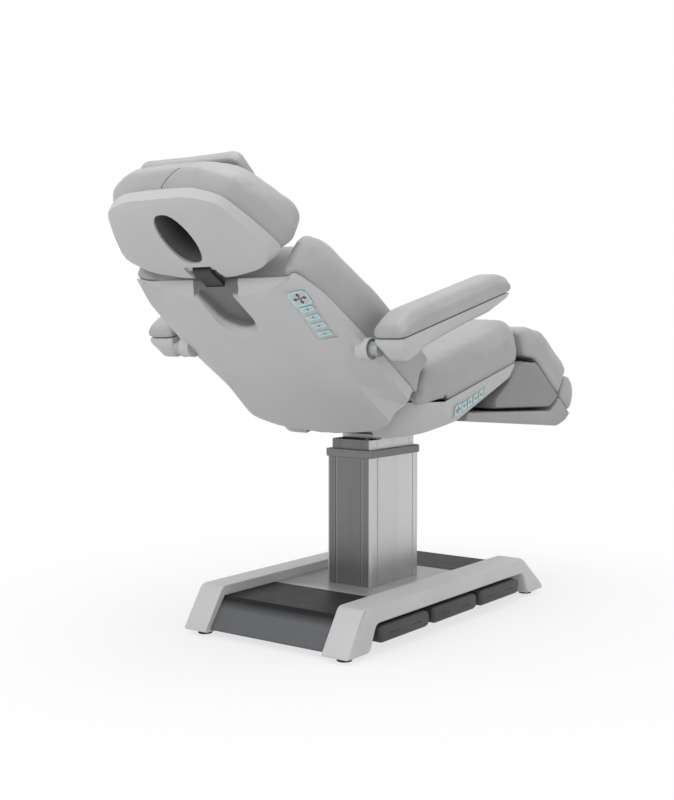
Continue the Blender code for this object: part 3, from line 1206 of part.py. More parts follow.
def make_leg(shell, pad, steel):
    half = LEG_WIDTH / 2
    calf = rounded(sized(CALF_SHARES, LEG_LENGTH, LEG_PAD), PADDING_ROUND * 0.5)
    cushion("leg_cushion", LEG, calf, half, PADDING_ROUND * 0.8, LEG_PAD * 0.05, pad)

    corners = sized(CALF_SHELL_SHARES, LEG_LENGTH, LEG_DEPTH)
    outer = LEG_SHELL_WIDTH / 2
    calf_shell = softened("leg_shell", LEG, rounded(corners, SHELL_WALL * 3), outer, SHELL_WALL * 3, shell,
                          steps=2)
    distances = [-OVERRUN if index in CALF_OPEN_EDGES else SHELL_WALL for index in range(len(corners))]
    room = outer - SHELL_WALL * 1.6
    cut(calf_shell,
        profile_solid("calf_cavity", LEG, shifted(corners, distances), -room, room),
        profile_solid("knee_slot", LEG,
                      [(-LEG_LENGTH * 0.10, -LEG_DEPTH * 0.42), (LEG_LENGTH * 0.23, -LEG_DEPTH * 0.42),
                       (LEG_LENGTH * 0.40, OVERRUN), (-LEG_LENGTH * 0.10, OVERRUN)],
                      -EAR_THICKNESS * 22, EAR_THICKNESS * 22))
    for side in (-1, 1):
        start = LEG.at(LEG_LENGTH * 0.86, side * GUIDE_ACROSS, -GUIDE_DROP)
        end = LEG.at(LEG_LENGTH + OVERRUN, side * GUIDE_ACROSS, -GUIDE_DROP)
        cut(calf_shell, bar("guide_hole", start, end, GUIDE_RADIUS + SLIDE_CLEARANCE))

    make_leg_frame(steel)
    make_foot(shell, pad)


def make_leg_frame(steel):
    top = LEG_PLATE_TOP
    low = top - SEAT_FRAME_PLATE
    half = LEG_SHELL_WIDTH / 2 - SHELL_WALL * 4
    frame = block("leg_frame", LEG, (LEG_LENGTH * 0.45, LEG_LENGTH * 0.88), (-half, half), (low, top), steel)
    eye = HINGE_PIN_RADIUS * 1.8
    knee = EAR_THICKNESS * 20 + GAP
    ear = [(-eye, -eye * 0.4), (-eye * 0.4, eye * 0.8), (eye * 0.4, eye * 0.8),
           (LEG_LENGTH * 0.235, -LEG_PAD * 0.215), (LEG_LENGTH * 0.42, LEG_PAD * 0.085),
           (LEG_LENGTH * 0.47, top - GAP), (LEG_LENGTH * 0.56, low + SEAT_FRAME_PLATE / 2),
           (LEG_LENGTH * 0.34, -LEG_PAD * 0.33), (LEG_LENGTH * 0.21, -LEG_PAD * 0.42),
           (-eye * 0.4, -eye)]
    pieces = []
    for side in (-1, 1):
        across = sorted((side * knee, side * (knee + EAR_THICKNESS)))
        pieces.append(profile_solid("leg_ear", LEG, ear, *across))
    lever = [(LEG_LEVER_ALONG - eye, -LEG_LEVER_DROP + eye * 0.2), (LEG_LEVER_ALONG - eye * 0.3, -LEG_LEVER_DROP - eye),
             (LEG_LEVER_ALONG + eye * 2, -LEG_LEVER_DROP - eye), (LEG_LENGTH * 0.62, low - EAR_THICKNESS),
             (LEG_LENGTH * 0.62, top - GAP), (LEG_LENGTH * 0.44, top - GAP), (LEG_LENGTH * 0.24, -LEG_PAD * 0.33)]
    fork = ACTUATOR_ROD_RADIUS + RUNNING_GAP / 3
    for side in (-1, 1):
        across = sorted((-LEVER_ACROSS + side * fork, -LEVER_ACROSS + side * (fork + EAR_THICKNESS * 0.6)))
        pieces.append(profile_solid("leg_lever", LEG, lever, *across))
    for side in (-1, 1):
        across = sorted((side * (GUIDE_ACROSS - GUIDE_RADIUS * 2), side * (GUIDE_ACROSS + GUIDE_RADIUS * 2)))
        pieces.append(block("guide_block", LEG, (LEG_LENGTH * 0.68, LEG_LENGTH * 0.86), across,
                            (-GUIDE_DROP - GUIDE_RADIUS * 1.6, low + SEAT_FRAME_PLATE / 2)))
    join(frame, *pieces)
    reach = knee + EAR_THICKNESS + OVERRUN
    cut(frame, bar("knee_bore", LEG.at(0, -reach, 0), LEG.at(0, reach, 0), HINGE_PIN_RADIUS + GAP))
    for side in (-1, 1):
        cut(frame, bar("guide_bore", LEG.at(LEG_LENGTH * 0.5, side * GUIDE_ACROSS, -GUIDE_DROP),
                       LEG.at(LEG_LENGTH, side * GUIDE_ACROSS, -GUIDE_DROP), GUIDE_RADIUS + GAP))


def make_foot(shell, pad):
    half = LEG_WIDTH / 2
    base = HEAD_SHELL / 2
    profile = [(FOOT_START + along, base + up) for along, up in sized(FOOT_PAD_SHARES, FOOT_LENGTH, FOOT_PAD)]
    cushion("foot_cushion", LEG, rounded(profile, PADDING_ROUND * 0.6), half, PADDING_ROUND * 0.8,
            FOOT_PAD * 0.05, pad)
    corners = sized(TRAY_SHARES, TRAY_LENGTH, TRAY_DEPTH)
    outer = LEG_SHELL_WIDTH / 2
    tray = softened("foot_shell", LEG, rounded(corners, SHELL_WALL * 2), outer, SHELL_WALL * 2, shell, steps=2)
    notch = TRAY_NOTCH_WIDTH / 2
    low = SEAT_HEIGHT - TRAY_DEPTH / 2
    cut(tray, block("column_notch", FLOOR, (-COLUMN_LENGTH, TRAY_NOTCH_END), (-notch, notch),
                    (low, SEAT_HEIGHT + OVERRUN)))
    for side in (-1, 1):
        join(tray, bar("guide_bar", LEG.at(LEG_LENGTH * 0.34, side * GUIDE_ACROSS, -GUIDE_DROP),
                       LEG.at(LEG_LENGTH * 1.06, side * GUIDE_ACROSS, -GUIDE_DROP), GUIDE_RADIUS))


# Keypads

def keypad(label, carrier, facet, pad_key, key, pitch, plate_material, key_material):
    """A direction pad and four keys in a row, on a plate sunk into the carrier."""
    length = pad_key[0] + 4 * pitch + 2 * KEYPAD_MARGIN
    half = max(key[1], pad_key[1]) / 2 + KEYPAD_MARGIN
    sink = -KEYPAD_SINK
    cut(carrier, block(label + "_pocket", facet, (-GAP, length + GAP), (-half - GAP, half + GAP),
                       (sink - GAP, OVERRUN)))
    block(label + "_keypad", facet, (0, length), (-half, half), (sink, sink + KEYPAD_PLATE),
          plate_material)
    low = sink + KEYPAD_PLATE + KEY_TRAVEL_GAP
    sizes = [(label + "_key_pad", KEYPAD_MARGIN + pad_key[0] / 2, pad_key)]
    for index in range(4):
        centre = KEYPAD_MARGIN + pad_key[0] + pitch * (index + 0.5)
        sizes.append((label + "_key_" + str(index + 1), centre, key))
    for name, centre, (along, across) in sizes:
        outline = rounded(rectangle(centre - along / 2, centre + along / 2, -across / 2, across / 2),
                          along / 4)
        plan_solid(name, facet, outline, low, low + KEY_HEIGHT, key_material)


def back_facet():
    """The place of the back keypad on the crowned rear surface, near the right edge."""
    along = BACK_LENGTH * 0.893
    across = -BACK_SHELL_WIDTH * 0.377
    step = BACK_KEY_PITCH
    here = BACK.at(along, across, back_face_height(along, across))
    ahead = BACK.at(along + step, across, back_face_height(along + step, across))
    aside = BACK.at(along, across + step, back_face_height(along, across + step))
    outward = (ahead - here).cross(aside - here)
    if outward.dot(BACK.up) > 0:
        outward = -outward
    return Facet(here, here - ahead, outward)


def seat_facet():
    """The place of the seat keypad on the shell's sloped right side."""
    rim = SEAT_SHELL_WIDTH / 2
    keel = SEAT_KEEL_WIDTH / 2
    along = -SEAT_LENGTH * 0.18
    share = 0.52
    ahead = along + SEAT_LENGTH * 0.5

    def point(place):
        top = -SHELL_WALL * 2
        bottom = seat_keel_height(place, keel)
        return (SEAT.at(place, -rim + (rim - keel) * share, top + (bottom - top) * share),
                Vector((0, rim - keel, 0)) + SEAT.up * (bottom - top))

    here, down = point(along)
    there, _ = point(ahead)
    outward = (there - here).cross(down)
    if outward.y > 0:
        outward = -outward
    return Facet(here, there - here, outward)


def main():
    clear_scene()
    shell = finish("shell plastic", (0.62, 0.62, 0.62), 0.38)
    pad = finish("gray upholstery", (0.45, 0.45, 0.45), 0.55)
    rail = finish("rail plastic", (0.60, 0.60, 0.60), 0.35)
    cover = finish("dark plastic", (0.055, 0.057, 0.06), 0.35)
    dark = finish("black rubber", (0.03, 0.031, 0.033), 0.6)
    collar = finish("collar plastic", (0.16, 0.165, 0.165), 0.45)
    brushed = finish("brushed aluminium", (0.60, 0.60, 0.60), 0.32, 1.0)
    steel = finish("steel", (0.42, 0.43, 0.44), 0.35, 1.0)
    glossy = finish("glossy plate", (0.30, 0.30, 0.31), 0.15)
    keys = finish("key film", (0.50, 0.62, 0.62), 0.4)

    top = make_base(cover, rail, dark, steel, glossy, dark)
    make_pedals(cover)
    lift_length = make_column(top, brushed, collar, steel, cover)
    make_cradle(lift_length, steel)
    make_seat(steel, shell, pad, cover, dark)
    make_seat_actuators(steel, cover)
    make_back(shell, pad, steel)
    make_head(shell, pad, steel)
    make_armrests(shell, pad, steel)
    make_leg(shell, pad, steel)
    keypad("back", bpy.data.objects["back_shell"], back_facet(), BACK_PAD_KEY, BACK_KEY,
           BACK_KEY_PITCH, glossy, keys)
    keypad("seat", bpy.data.objects["seat_shell"], seat_facet(), SEAT_PAD_KEY, SEAT_KEY,
           SEAT_KEY_PITCH, glossy, keys)


main()
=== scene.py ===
import json
import math

import bmesh
import bpy
import numpy as np
from bpy.props import FloatProperty, FloatVectorProperty, PointerProperty
from bpy.types import Operator, Panel, PropertyGroup
from mathutils import Matrix, Vector
from mathutils.bvhtree import BVHTree


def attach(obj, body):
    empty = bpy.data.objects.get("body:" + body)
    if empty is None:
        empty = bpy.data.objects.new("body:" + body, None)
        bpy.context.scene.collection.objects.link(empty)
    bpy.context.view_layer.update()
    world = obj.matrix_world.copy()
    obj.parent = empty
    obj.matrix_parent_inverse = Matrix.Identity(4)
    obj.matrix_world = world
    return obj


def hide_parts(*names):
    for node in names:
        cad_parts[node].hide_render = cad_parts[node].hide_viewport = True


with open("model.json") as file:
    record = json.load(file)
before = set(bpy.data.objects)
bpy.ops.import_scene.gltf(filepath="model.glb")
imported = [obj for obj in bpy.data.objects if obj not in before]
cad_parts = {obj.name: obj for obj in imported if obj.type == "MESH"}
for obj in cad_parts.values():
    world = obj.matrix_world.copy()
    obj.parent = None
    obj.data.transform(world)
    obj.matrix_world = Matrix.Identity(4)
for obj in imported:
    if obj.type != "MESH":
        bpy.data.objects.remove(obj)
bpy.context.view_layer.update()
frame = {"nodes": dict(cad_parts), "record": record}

bl_info = {
    "name": "Treatment table",
    "version": (1, 0, 0),
    "blender": (4, 5, 0),
    "location": "3D View > Sidebar > Treatment table",
    "description": "Dresses the packed treatment table: shells, metal, padding, keys and stage",
    "category": "Object",
}

# Sizes and places of the CAD parts that patterns and pieces are set against, in metres
COLUMN_CENTRE = -0.017
COLUMN_LENGTH = 0.250
INNER_LENGTH = 0.234
COLUMN_FACE = 0.070
INNER_FACE = 0.064
BACK_ORIGIN = (-0.12252, 0.0, 0.63959)
HEAD_ORIGIN = (-0.89659, 0.0, 1.11465)
# Heights below the back's origin and half width of the trough's painted shade
TROUGH_MOUTH = 0.0815
TROUGH_BOTTOM = 0.069
TROUGH_HALF = 0.074
SEAT_RIM = 0.286
HOLE_CENTRE = 0.0848
HOLE_HALF_LENGTH = 0.080
HOLE_HALF_WIDTH = 0.050
HOLE_MOUTH = -0.0005
HOLE_MIDDLE = 0.050
HOLE_TOP = 0.141
ARM_PIVOT = (-0.48273, 0.0, 0.79321)
RING_REACH = 0.3162
# Heights of the covers' painted light: drawn lighter on the slope below, darker on the level top above
COVER_LOW = 0.030
COVER_HIGH = 0.100
# Where the column's painted face shade starts inside its half length, and how wide its edges blend
FACE_DEPTH = 0.0035
FACE_BLEND = 0.002
# Share of the colour left where shade is painted in, as on the trough's wall
SHADE = 0.25

# Directions that the faces with marks look along
PEDAL_WAY = (0.0, -0.8, 0.6)
BACK_PAD_WAY = (-0.75, -0.25, -0.6)
SEAT_PAD_WAY = (0.0, -1.0, -0.2)

# The slit in the head cushion, along, across and up from the head's origin, in metres
SLIT = (
    (-0.0694, -0.0619, 0.0770),
    (-0.0559, -0.0309, 0.0559),
    (-0.0437, -0.0093, 0.0394),
    (-0.0412, -0.0130, 0.0300),
)

# Marks: outlines in shares of a key's half size, and places in shares of a pedal's half length
PAD_ARROW = (
    (0.78, 0.0), (0.42, 0.24), (0.42, 0.08), (0.08, 0.08), (0.08, -0.08), (0.42, -0.08), (0.42, -0.24),
)
KEY_ARROW = (
    (0.45, 0.0), (0.0, 0.36), (0.0, 0.13), (-0.45, 0.13), (-0.45, -0.13), (0.0, -0.13), (0.0, -0.36),
)
KEY_STRETCH = (1.1, 0.9)
KEY_ROUND_SHARE = 0.35
KEY_INSET = 0.0006
PEDAL_TIP_SHARE = 0.70
PEDAL_TAIL_SHARE = 0.30
ARROW_LENGTH_SHARE = 0.8
ARROW_WING_SHARE = 0.42
THREAD_RISE_SHARE = 0.2
RIM_STEP = 0.0045
RING_LIFT = 0.0006

# Meshing: merge distances, and how closely a face looks along a direction
SAME_POINT = 0.000001
SAME_CORNER = 0.00002
ROUGHLY_ALONG = 0.6
EXACTLY_ALONG = 0.999
FACE_LEVEL = 0.0004
COLUMN_SHARP = math.radians(24.0)

# Padding: the cloth, and how its movement fades towards the underside
CLOTH = {
    "quality": 4,
    "mass": 0.3,
    "tension_stiffness": 12.0,
    "compression_stiffness": 12.0,
    "shear_stiffness": 6.0,
    "bending_stiffness": 0.4,
}
CLOTH_FRAMES = 20
AFTER_ROUNDS = 4
ARM_CAP = 0.003
ARM_CELL_SHARE = 0.75
HEAD_CELL_SHARE = 0.8
SWELL_START = 0.75
SWELL_BLEND = 0.7
UNDER_START = 0.1
UNDER_BLEND = 0.6
HOLD_START = 1.12
HOLD_BLEND = 0.35

# The seat cushion's rim, where it sinks onto the shell
RIM_DOWN = 0.8
RIM_DOWN_BLEND = 0.5
RIM_WIDTH = 0.014
RIM_RAY = 0.030
RIM_BINS = 24
RIM_BIN_REACH = 0.02
RIM_LEFT = 0.0006
RIM_MOST = 0.012
RIM_BLEND_START = 0.024
RIM_BLEND = 0.018

# Stage
FLOOR_REACH = 14.0
FADE_SPAN = (0.5, 1.7)
FADE_NEAR = 0.72
SKY_LIGHT = 0.76
LAMP_AIM = (-0.1, 0.0, 0.6)
LAMPS = (
    ("key_lamp", (-3.2, 1.4, 2.6), 2.4, 24.0),
    ("fill_lamp", (-3.8, -1.6, 2.0), 2.6, 20.0),
    ("top_lamp", (-0.5, -0.4, 3.6), 2.4, 42.0),
    ("side_lamp", (1.0, -3.8, 2.4), 2.2, 8.0),
)
CAMERA_LENS = 53.775
CAMERA_SENSOR = 36.0
CAMERA_TURN = math.radians(53.64)
CAMERA_DOWN = math.radians(3.35)
CAMERA_PLACE = (-2.917, -2.001, 0.840)


def leaning(degrees, heading=1.0):
    """Rows of a leaning part's frame at rest: along, across and up, as unit vectors. A heading
    of -1 runs towards the head."""
    angle = math.radians(degrees)
    along = (heading * math.cos(angle), 0.0, math.sin(angle))
    up = (-heading * math.sin(angle), 0.0, math.cos(angle))
    return np.array([along, (0.0, 1.0, 0.0), up])


SEAT_FRAME = leaning(13.5)
BACK_FRAME = leaning(32.8, -1.0)
HEAD_FRAME = leaning(-42.0)
LEG_FRAME = leaning(-36.0)


def length(label, text, default):
    """A size in metres that the panel shows."""
    return FloatProperty(name=label, description=text, default=default, unit="LENGTH", precision=4)


def colour(label, text, default):
    """A linear colour that the panel shows."""
    return FloatVectorProperty(
        name=label, description=text, default=default, size=3, min=0.0, max=1.0, subtype="COLOR"
    )


def plain_number(label, text, default):
    """A plain number that the panel shows."""
    return FloatProperty(name=label, description=text, default=default)


class TreatmentTableSizes(PropertyGroup):
    """Sizes of what the script adds to the CAD parts."""

    shell_edge: length("Shell edge", "Rounding of the moulded shells", 0.0060)
    part_edge: length("Part edge", "Rounding of small plastic parts", 0.0012)
    metal_edge: length("Metal edge", "Rounding of metal parts", 0.0006)
    voxel: length("Padding cell", "Cell of the remeshed padding", 0.006)
    large_voxel: length("Large padding cell", "Cell of the back's padding", 0.007)
    shrink: length("Padding start", "How far padding starts inside its solid", 0.0025)
    cap: length("Padding cap", "Most that a point of padding may swell", 0.0050)
    pressure: plain_number("Padding pressure", "Air pressure that swells the padding", 4.0)
    seam_depth: length("Seam depth", "Depth of a sewn seam", 0.0011)
    seam_width: length("Seam width", "Half width of a sewn seam", 0.0035)
    rail_edge: length("Rail edge", "Rounding of the base rails", 0.0030)
    sag: length("Padding sag", "How far the padding's underside gives onto its board", 0.0004)
    lining: length("Lining gap", "How far the face hole's lining stands off its wall", 0.0008)
    thread: length("Thread", "Radius of the seam's thread", 0.0007)
    outline: length("Key outline", "Width of the line around a key", 0.0027)
    mark_rise: length("Mark rise", "Thickness of a printed mark", 0.00015)
    pedal_mark: length("Pedal mark", "Length of a pedal's arrow", 0.020)
    pedal_line: length("Pedal line", "Width of the line in a pedal's mark", 0.0022)
    ring_radius: length("Pivot ring", "Radius of the armrest's pivot ring", 0.0225)
    ring_tube: length("Ring tube", "Thickness of the pivot ring", 0.0012)


class TreatmentTableColours(PropertyGroup):
    """Colours of the slots, in linear values."""

    shell: colour("Shell", "Light moulded plastic", (0.46, 0.46, 0.46))
    upholstery: colour("Upholstery", "Gray leather", (0.365, 0.363, 0.364))
    dark_plastic: colour("Dark plastic", "Covers and pedals", (0.046, 0.048, 0.051))
    rubber: colour("Rubber", "Feet", (0.022, 0.022, 0.023))
    collar: colour("Collar", "Column collar", (0.190, 0.195, 0.193))
    aluminium: colour("Aluminium", "Brushed column", (0.56, 0.56, 0.555))
    # Painted shade: the column's wide faces are drawn in this darker colour
    painted_face_shade: colour("Column face", "Darker wide faces of the column", (0.175, 0.175, 0.176))
    # Painted shade: the face hole's lining is drawn near black, for the shade in the hole
    hole_shade: colour("Hollow", "Dark lining of openings", (0.060, 0.060, 0.061))
    link: colour("Arm link", "Gray pivot of the armrests", (0.36, 0.36, 0.37))
    # Painted shade: the head bar is drawn near black, for the shade of the notch it slides in
    bar: colour("Head bar", "Dark sliding bar", (0.030, 0.031, 0.033))
    glossy: colour("Glossy plate", "Plate round the column", (0.31, 0.312, 0.316))
    steel: colour("Steel", "Painted frames and rods", (0.17, 0.172, 0.178))
    film: colour("Key film", "Key faces", (0.47, 0.48, 0.48))
    cyan: colour("Key outline", "Line around each key", (0.36, 0.86, 0.89))
    mark: colour("Mark", "Printed arrows", (0.035, 0.045, 0.055))
    engraved: colour("Pedal mark", "Engraved arrows on the pedals", (0.008, 0.008, 0.009))
    teal: colour("Pivot ring", "Ring in the armrest's pivot", (0.025, 0.17, 0.19))
    floor: colour("Floor", "Pale floor", (0.80, 0.80, 0.80))


def sizes():
    """The sizes that the operators read."""
    return bpy.context.scene.treatment_table_sizes


def colours():
    """The colours that the operators read."""
    return bpy.context.scene.treatment_table_colours


# Materials


def add_node(tree, kind, settings=None, values=None, links=None):
    """A new node, with its settings, the values of its inputs and the sockets linked to them."""
    node = tree.nodes.new(kind)
    for name, value in (settings or {}).items():
        setattr(node, name, value)
    for name, value in (values or {}).items():
        node.inputs[name].default_value = value
    for name, socket in (links or {}).items():
        tree.links.new(socket, node.inputs[name])
    return node


def new_material(name, roughness, metallic=0.0, specular=0.5):
    """A node material, its tree, its shader and the object coordinates."""
    material = bpy.data.materials.new(name)
    material.use_nodes = True
    tree = material.node_tree
    shader = tree.nodes["Principled BSDF"]
    shader.inputs["Roughness"].default_value = roughness
    shader.inputs["Metallic"].default_value = metallic
    shader.inputs["Specular IOR Level"].default_value = specular
    place = add_node(tree, "ShaderNodeTexCoord").outputs["Object"]
    return material, tree, shader, place


def stretch(tree, place, scale):
    """Coordinates scaled along each axis, so that a pattern runs one way."""
    node = add_node(tree, "ShaderNodeMapping", values={"Scale": scale}, links={"Vector": place})
    return node.outputs["Vector"]


def noise(tree, place, scale, detail=2.0, roughness=0.5):
    """A noise value between 0 and 1."""
    values = {"Scale": scale, "Detail": detail, "Roughness": roughness}
    return add_node(tree, "ShaderNodeTexNoise", values=values, links={"Vector": place}).outputs["Fac"]


def calculate(tree, operation, first, second=None):
    """The result of a Math node. The second value is a socket or a plain number."""
    links = {0: first}
    values = {}
    if isinstance(second, float):
        values[1] = second
    elif second is not None:
        links[1] = second
    return add_node(tree, "ShaderNodeMath", {"operation": operation}, values, links).outputs[0]


def rescale(tree, value, start, stop, low=0.0, high=1.0, smooth=False):
    """The value's way from start to stop, as a number from low to high, held at both ends."""
    settings = {"interpolation_type": "SMOOTHSTEP" if smooth else "LINEAR"}
    values = {"From Min": start, "From Max": stop, "To Min": low, "To Max": high}
    return add_node(tree, "ShaderNodeMapRange", settings, values, {"Value": value}).outputs["Result"]


def axis_of(tree, place, axis):
    """The coordinate along one axis."""
    return add_node(tree, "ShaderNodeSeparateXYZ", links={0: place}).outputs[axis]


def mix_colours(tree, share, first, second):
    """A colour between two. The second is a socket or a plain colour."""
    node = add_node(tree, "ShaderNodeMix", {"data_type": "RGBA"}, links={"Factor": share, "A": first})
    if isinstance(second, list):
        node.inputs["B"].default_value = second
    else:
        tree.links.new(second, node.inputs["B"])
    return node.outputs["Result"]


def shades(tree, value, base, low, high, span):
    """A ramp between two shades of a colour, over a span of the value."""
    ramp = add_node(tree, "ShaderNodeValToRGB", links={"Fac": value})
    for element, position, amount in zip(ramp.color_ramp.elements, span, (low, high)):
        element.position = position
        element.color = [min(part * amount, 1.0) for part in base] + [1.0]
    return ramp.outputs["Color"]


def tint(tree, value, shader, base, low, high, span=(0.35, 0.65)):
    """The base colour drifts between two shades of itself with a value."""
    tree.links.new(shades(tree, value, base, low, high, span), shader.inputs["Base Color"])


def vary_roughness(tree, value, shader, low, high):
    """The roughness drifts between two values."""
    tree.links.new(rescale(tree, value, 0.0, 1.0, low, high), shader.inputs["Roughness"])


def bump(tree, value, shader, strength, distance, below=None):
    """Relief from a value, on top of another relief where one is given."""
    links = {"Height": value}
    if below is not None:
        links["Normal"] = below
    values = {"Strength": strength, "Distance": distance}
    node = add_node(tree, "ShaderNodeBump", values=values, links=links)
    tree.links.new(node.outputs["Normal"], shader.inputs["Normal"])
    return node.outputs["Normal"]


def moulded_plastic(name, base, roughness, grain=1400.0, depth=0.00006, shade=None):
    """Moulded plastic: fine spark grain, faint flow shades and uneven sheen. shade gives the
    share of a darker colour painted in as shade, from the tree and the coordinates."""
    material, tree, shader, place = new_material(name, roughness)
    colour = shades(tree, noise(tree, place, 3.2, 3.0, 0.55), base, 0.965, 1.035, (0.35, 0.65))
    # Painted shade: where shade is given, a darker copy of the colour is mixed in
    if shade is not None:
        dark = [part * SHADE for part in base] + [1.0]
        colour = mix_colours(tree, shade(tree, place), colour, dark)
    tree.links.new(colour, shader.inputs["Base Color"])
    uneven = noise(tree, place, 22.0, 4.0, 0.6)
    vary_roughness(tree, uneven, shader, roughness - 0.06, roughness + 0.06)
    bump(tree, noise(tree, place, grain, 3.0, 0.6), shader, 0.55, depth)
    return material


def trough_shade(tree, place):
    """Painted shade on the hand trough's wall: the share of darker colour grows with a point's
    height above the shell's face along the back's up direction, within the trough's width."""
    up = BACK_FRAME[2]
    height = add_node(tree, "ShaderNodeVectorMath", {"operation": "DOT_PRODUCT"}, {1: up}, {0: place})
    level = float(np.dot(BACK_ORIGIN, up))
    mouth, bottom = level - TROUGH_MOUTH, level - TROUGH_BOTTOM
    inside = rescale(tree, height.outputs["Value"], mouth, bottom, smooth=True)
    side = calculate(tree, "ABSOLUTE", axis_of(tree, place, "Y"))
    return calculate(tree, "MULTIPLY", inside, calculate(tree, "LESS_THAN", side, TROUGH_HALF))


def cover_plastic_painted_light(name, base):
    """The covers' dark plastic, grained, with painted light: dark on the level top and painted lighter
    down the slope as a painted reflection, by the height of the point."""
    material, tree, shader, place = new_material(name, 0.50, specular=0.12)
    # Painted reflection: by height, the slope is drawn lighter and the level top darker
    slope = rescale(tree, axis_of(tree, place, "Z"), COVER_LOW, COVER_HIGH, 1.0, 0.0)
    tint(tree, slope, shader, base, 0.30, 2.7, (0.06, 0.40))
    vary_roughness(tree, noise(tree, place, 22.0, 4.0, 0.6), shader, 0.42, 0.56)
    bump(tree, noise(tree, place, 1000.0, 3.0, 0.6), shader, 0.5, 0.00010)
    return material


def leather(name, base):
    """Coated fabric: pebbled cells, fine pores, soft creases and a faint sheen."""
    material, tree, shader, place = new_material(name, 0.52)
    cells = add_node(
        tree,
        "ShaderNodeTexVoronoi",
        settings={"feature": "DISTANCE_TO_EDGE"},
        values={"Scale": 620.0, "Randomness": 0.9},
    )
    tree.links.new(place, cells.inputs["Vector"])
    pores = noise(tree, place, 2600.0, 2.0, 0.5)
    creases = noise(tree, place, 26.0, 4.0, 0.55)
    tint(tree, noise(tree, place, 5.0, 4.0, 0.6), shader, base, 0.95, 1.05)
    vary_roughness(tree, noise(tree, place, 40.0, 3.0, 0.6), shader, 0.46, 0.60)
    low = bump(tree, creases, shader, 0.22, 0.0009)
    middle = bump(tree, cells.outputs["Distance"], shader, 0.30, 0.0004, low)
    bump(tree, pores, shader, 0.20, 0.00005, middle)
    shader.inputs["Sheen Weight"].default_value = 0.08
    shader.inputs["Sheen Roughness"].default_value = 0.4
    return material


def brushed_metal(name, base, dark, half, face, roughness=0.36):
    """Brushed aluminium: fine scratches down the column, and painted shade that draws the wide faces
    darker, where the point's distance from the column's centre along X passes half its length and
    its distance along Y stays within the flat of the face."""
    material, tree, shader, place = new_material(name, roughness, metallic=0.85)
    lines = noise(tree, stretch(tree, place, (700.0, 700.0, 3.0)), 1.0, 3.0, 0.6)
    broad = noise(tree, stretch(tree, place, (16.0, 16.0, 1.2)), 1.0, 2.0, 0.5)
    axes = add_node(tree, "ShaderNodeSeparateXYZ", links={0: place}).outputs
    along = calculate(tree, "ABSOLUTE", calculate(tree, "SUBTRACT", axes["X"], COLUMN_CENTRE))
    wide = rescale(tree, along, half - FACE_DEPTH, half - FACE_DEPTH + FACE_BLEND)
    across = calculate(tree, "ABSOLUTE", axes["Y"])
    flat = rescale(tree, across, face - FACE_BLEND / 2.0, face + FACE_BLEND / 2.0, 1.0, 0.0)
    # Painted shade: the wide faces take the darker colour
    both = calculate(tree, "MULTIPLY", wide, flat)
    bare, painted_face_shade = (shades(tree, broad, shade, 0.93, 1.05, (0.3, 0.7)) for shade in (base, dark))
    tree.links.new(mix_colours(tree, both, bare, painted_face_shade), shader.inputs["Base Color"])
    vary_roughness(tree, lines, shader, roughness - 0.05, roughness + 0.06)
    bump(tree, lines, shader, 0.10, 0.00006)
    return material


def painted_metal(name, base, roughness=0.42, metallic=0.6):
    """Powder-coated steel: orange peel, small specks and worn sheen."""
    material, tree, shader, place = new_material(name, roughness, metallic=metallic)
    peel = noise(tree, place, 420.0, 2.0, 0.4)
    tint(tree, noise(tree, place, 30.0, 4.0, 0.6), shader, base, 0.88, 1.12)
    vary_roughness(tree, noise(tree, place, 12.0, 3.0, 0.6), shader, roughness - 0.08, roughness + 0.10)
    bump(tree, peel, shader, 0.30, 0.00010)
    return material


def soft_rubber(name, base):
    """Rubber: dull, with coarse grain and dusty patches."""
    material, tree, shader, place = new_material(name, 0.75, specular=0.3)
    tint(tree, noise(tree, place, 60.0, 4.0, 0.7), shader, base, 0.8, 1.5)
    vary_roughness(tree, noise(tree, place, 35.0, 3.0, 0.6), shader, 0.68, 0.86)
    bump(tree, noise(tree, place, 1100.0, 2.0, 0.6), shader, 0.5, 0.00012)
    return material


def printed_film(name, base, roughness=0.35):
    """Printed key film: smooth, with a fine satin grain."""
    material, tree, shader, place = new_material(name, roughness)
    tint(tree, noise(tree, place, 90.0, 3.0, 0.5), shader, base, 0.96, 1.04)
    vary_roughness(tree, noise(tree, place, 240.0, 2.0, 0.5), shader, roughness - 0.05, roughness + 0.08)
    bump(tree, noise(tree, place, 2400.0, 2.0, 0.5), shader, 0.3, 0.00003)
    return material


def toned(base, amount):
    """A colour times a number."""
    return [part * amount for part in base]


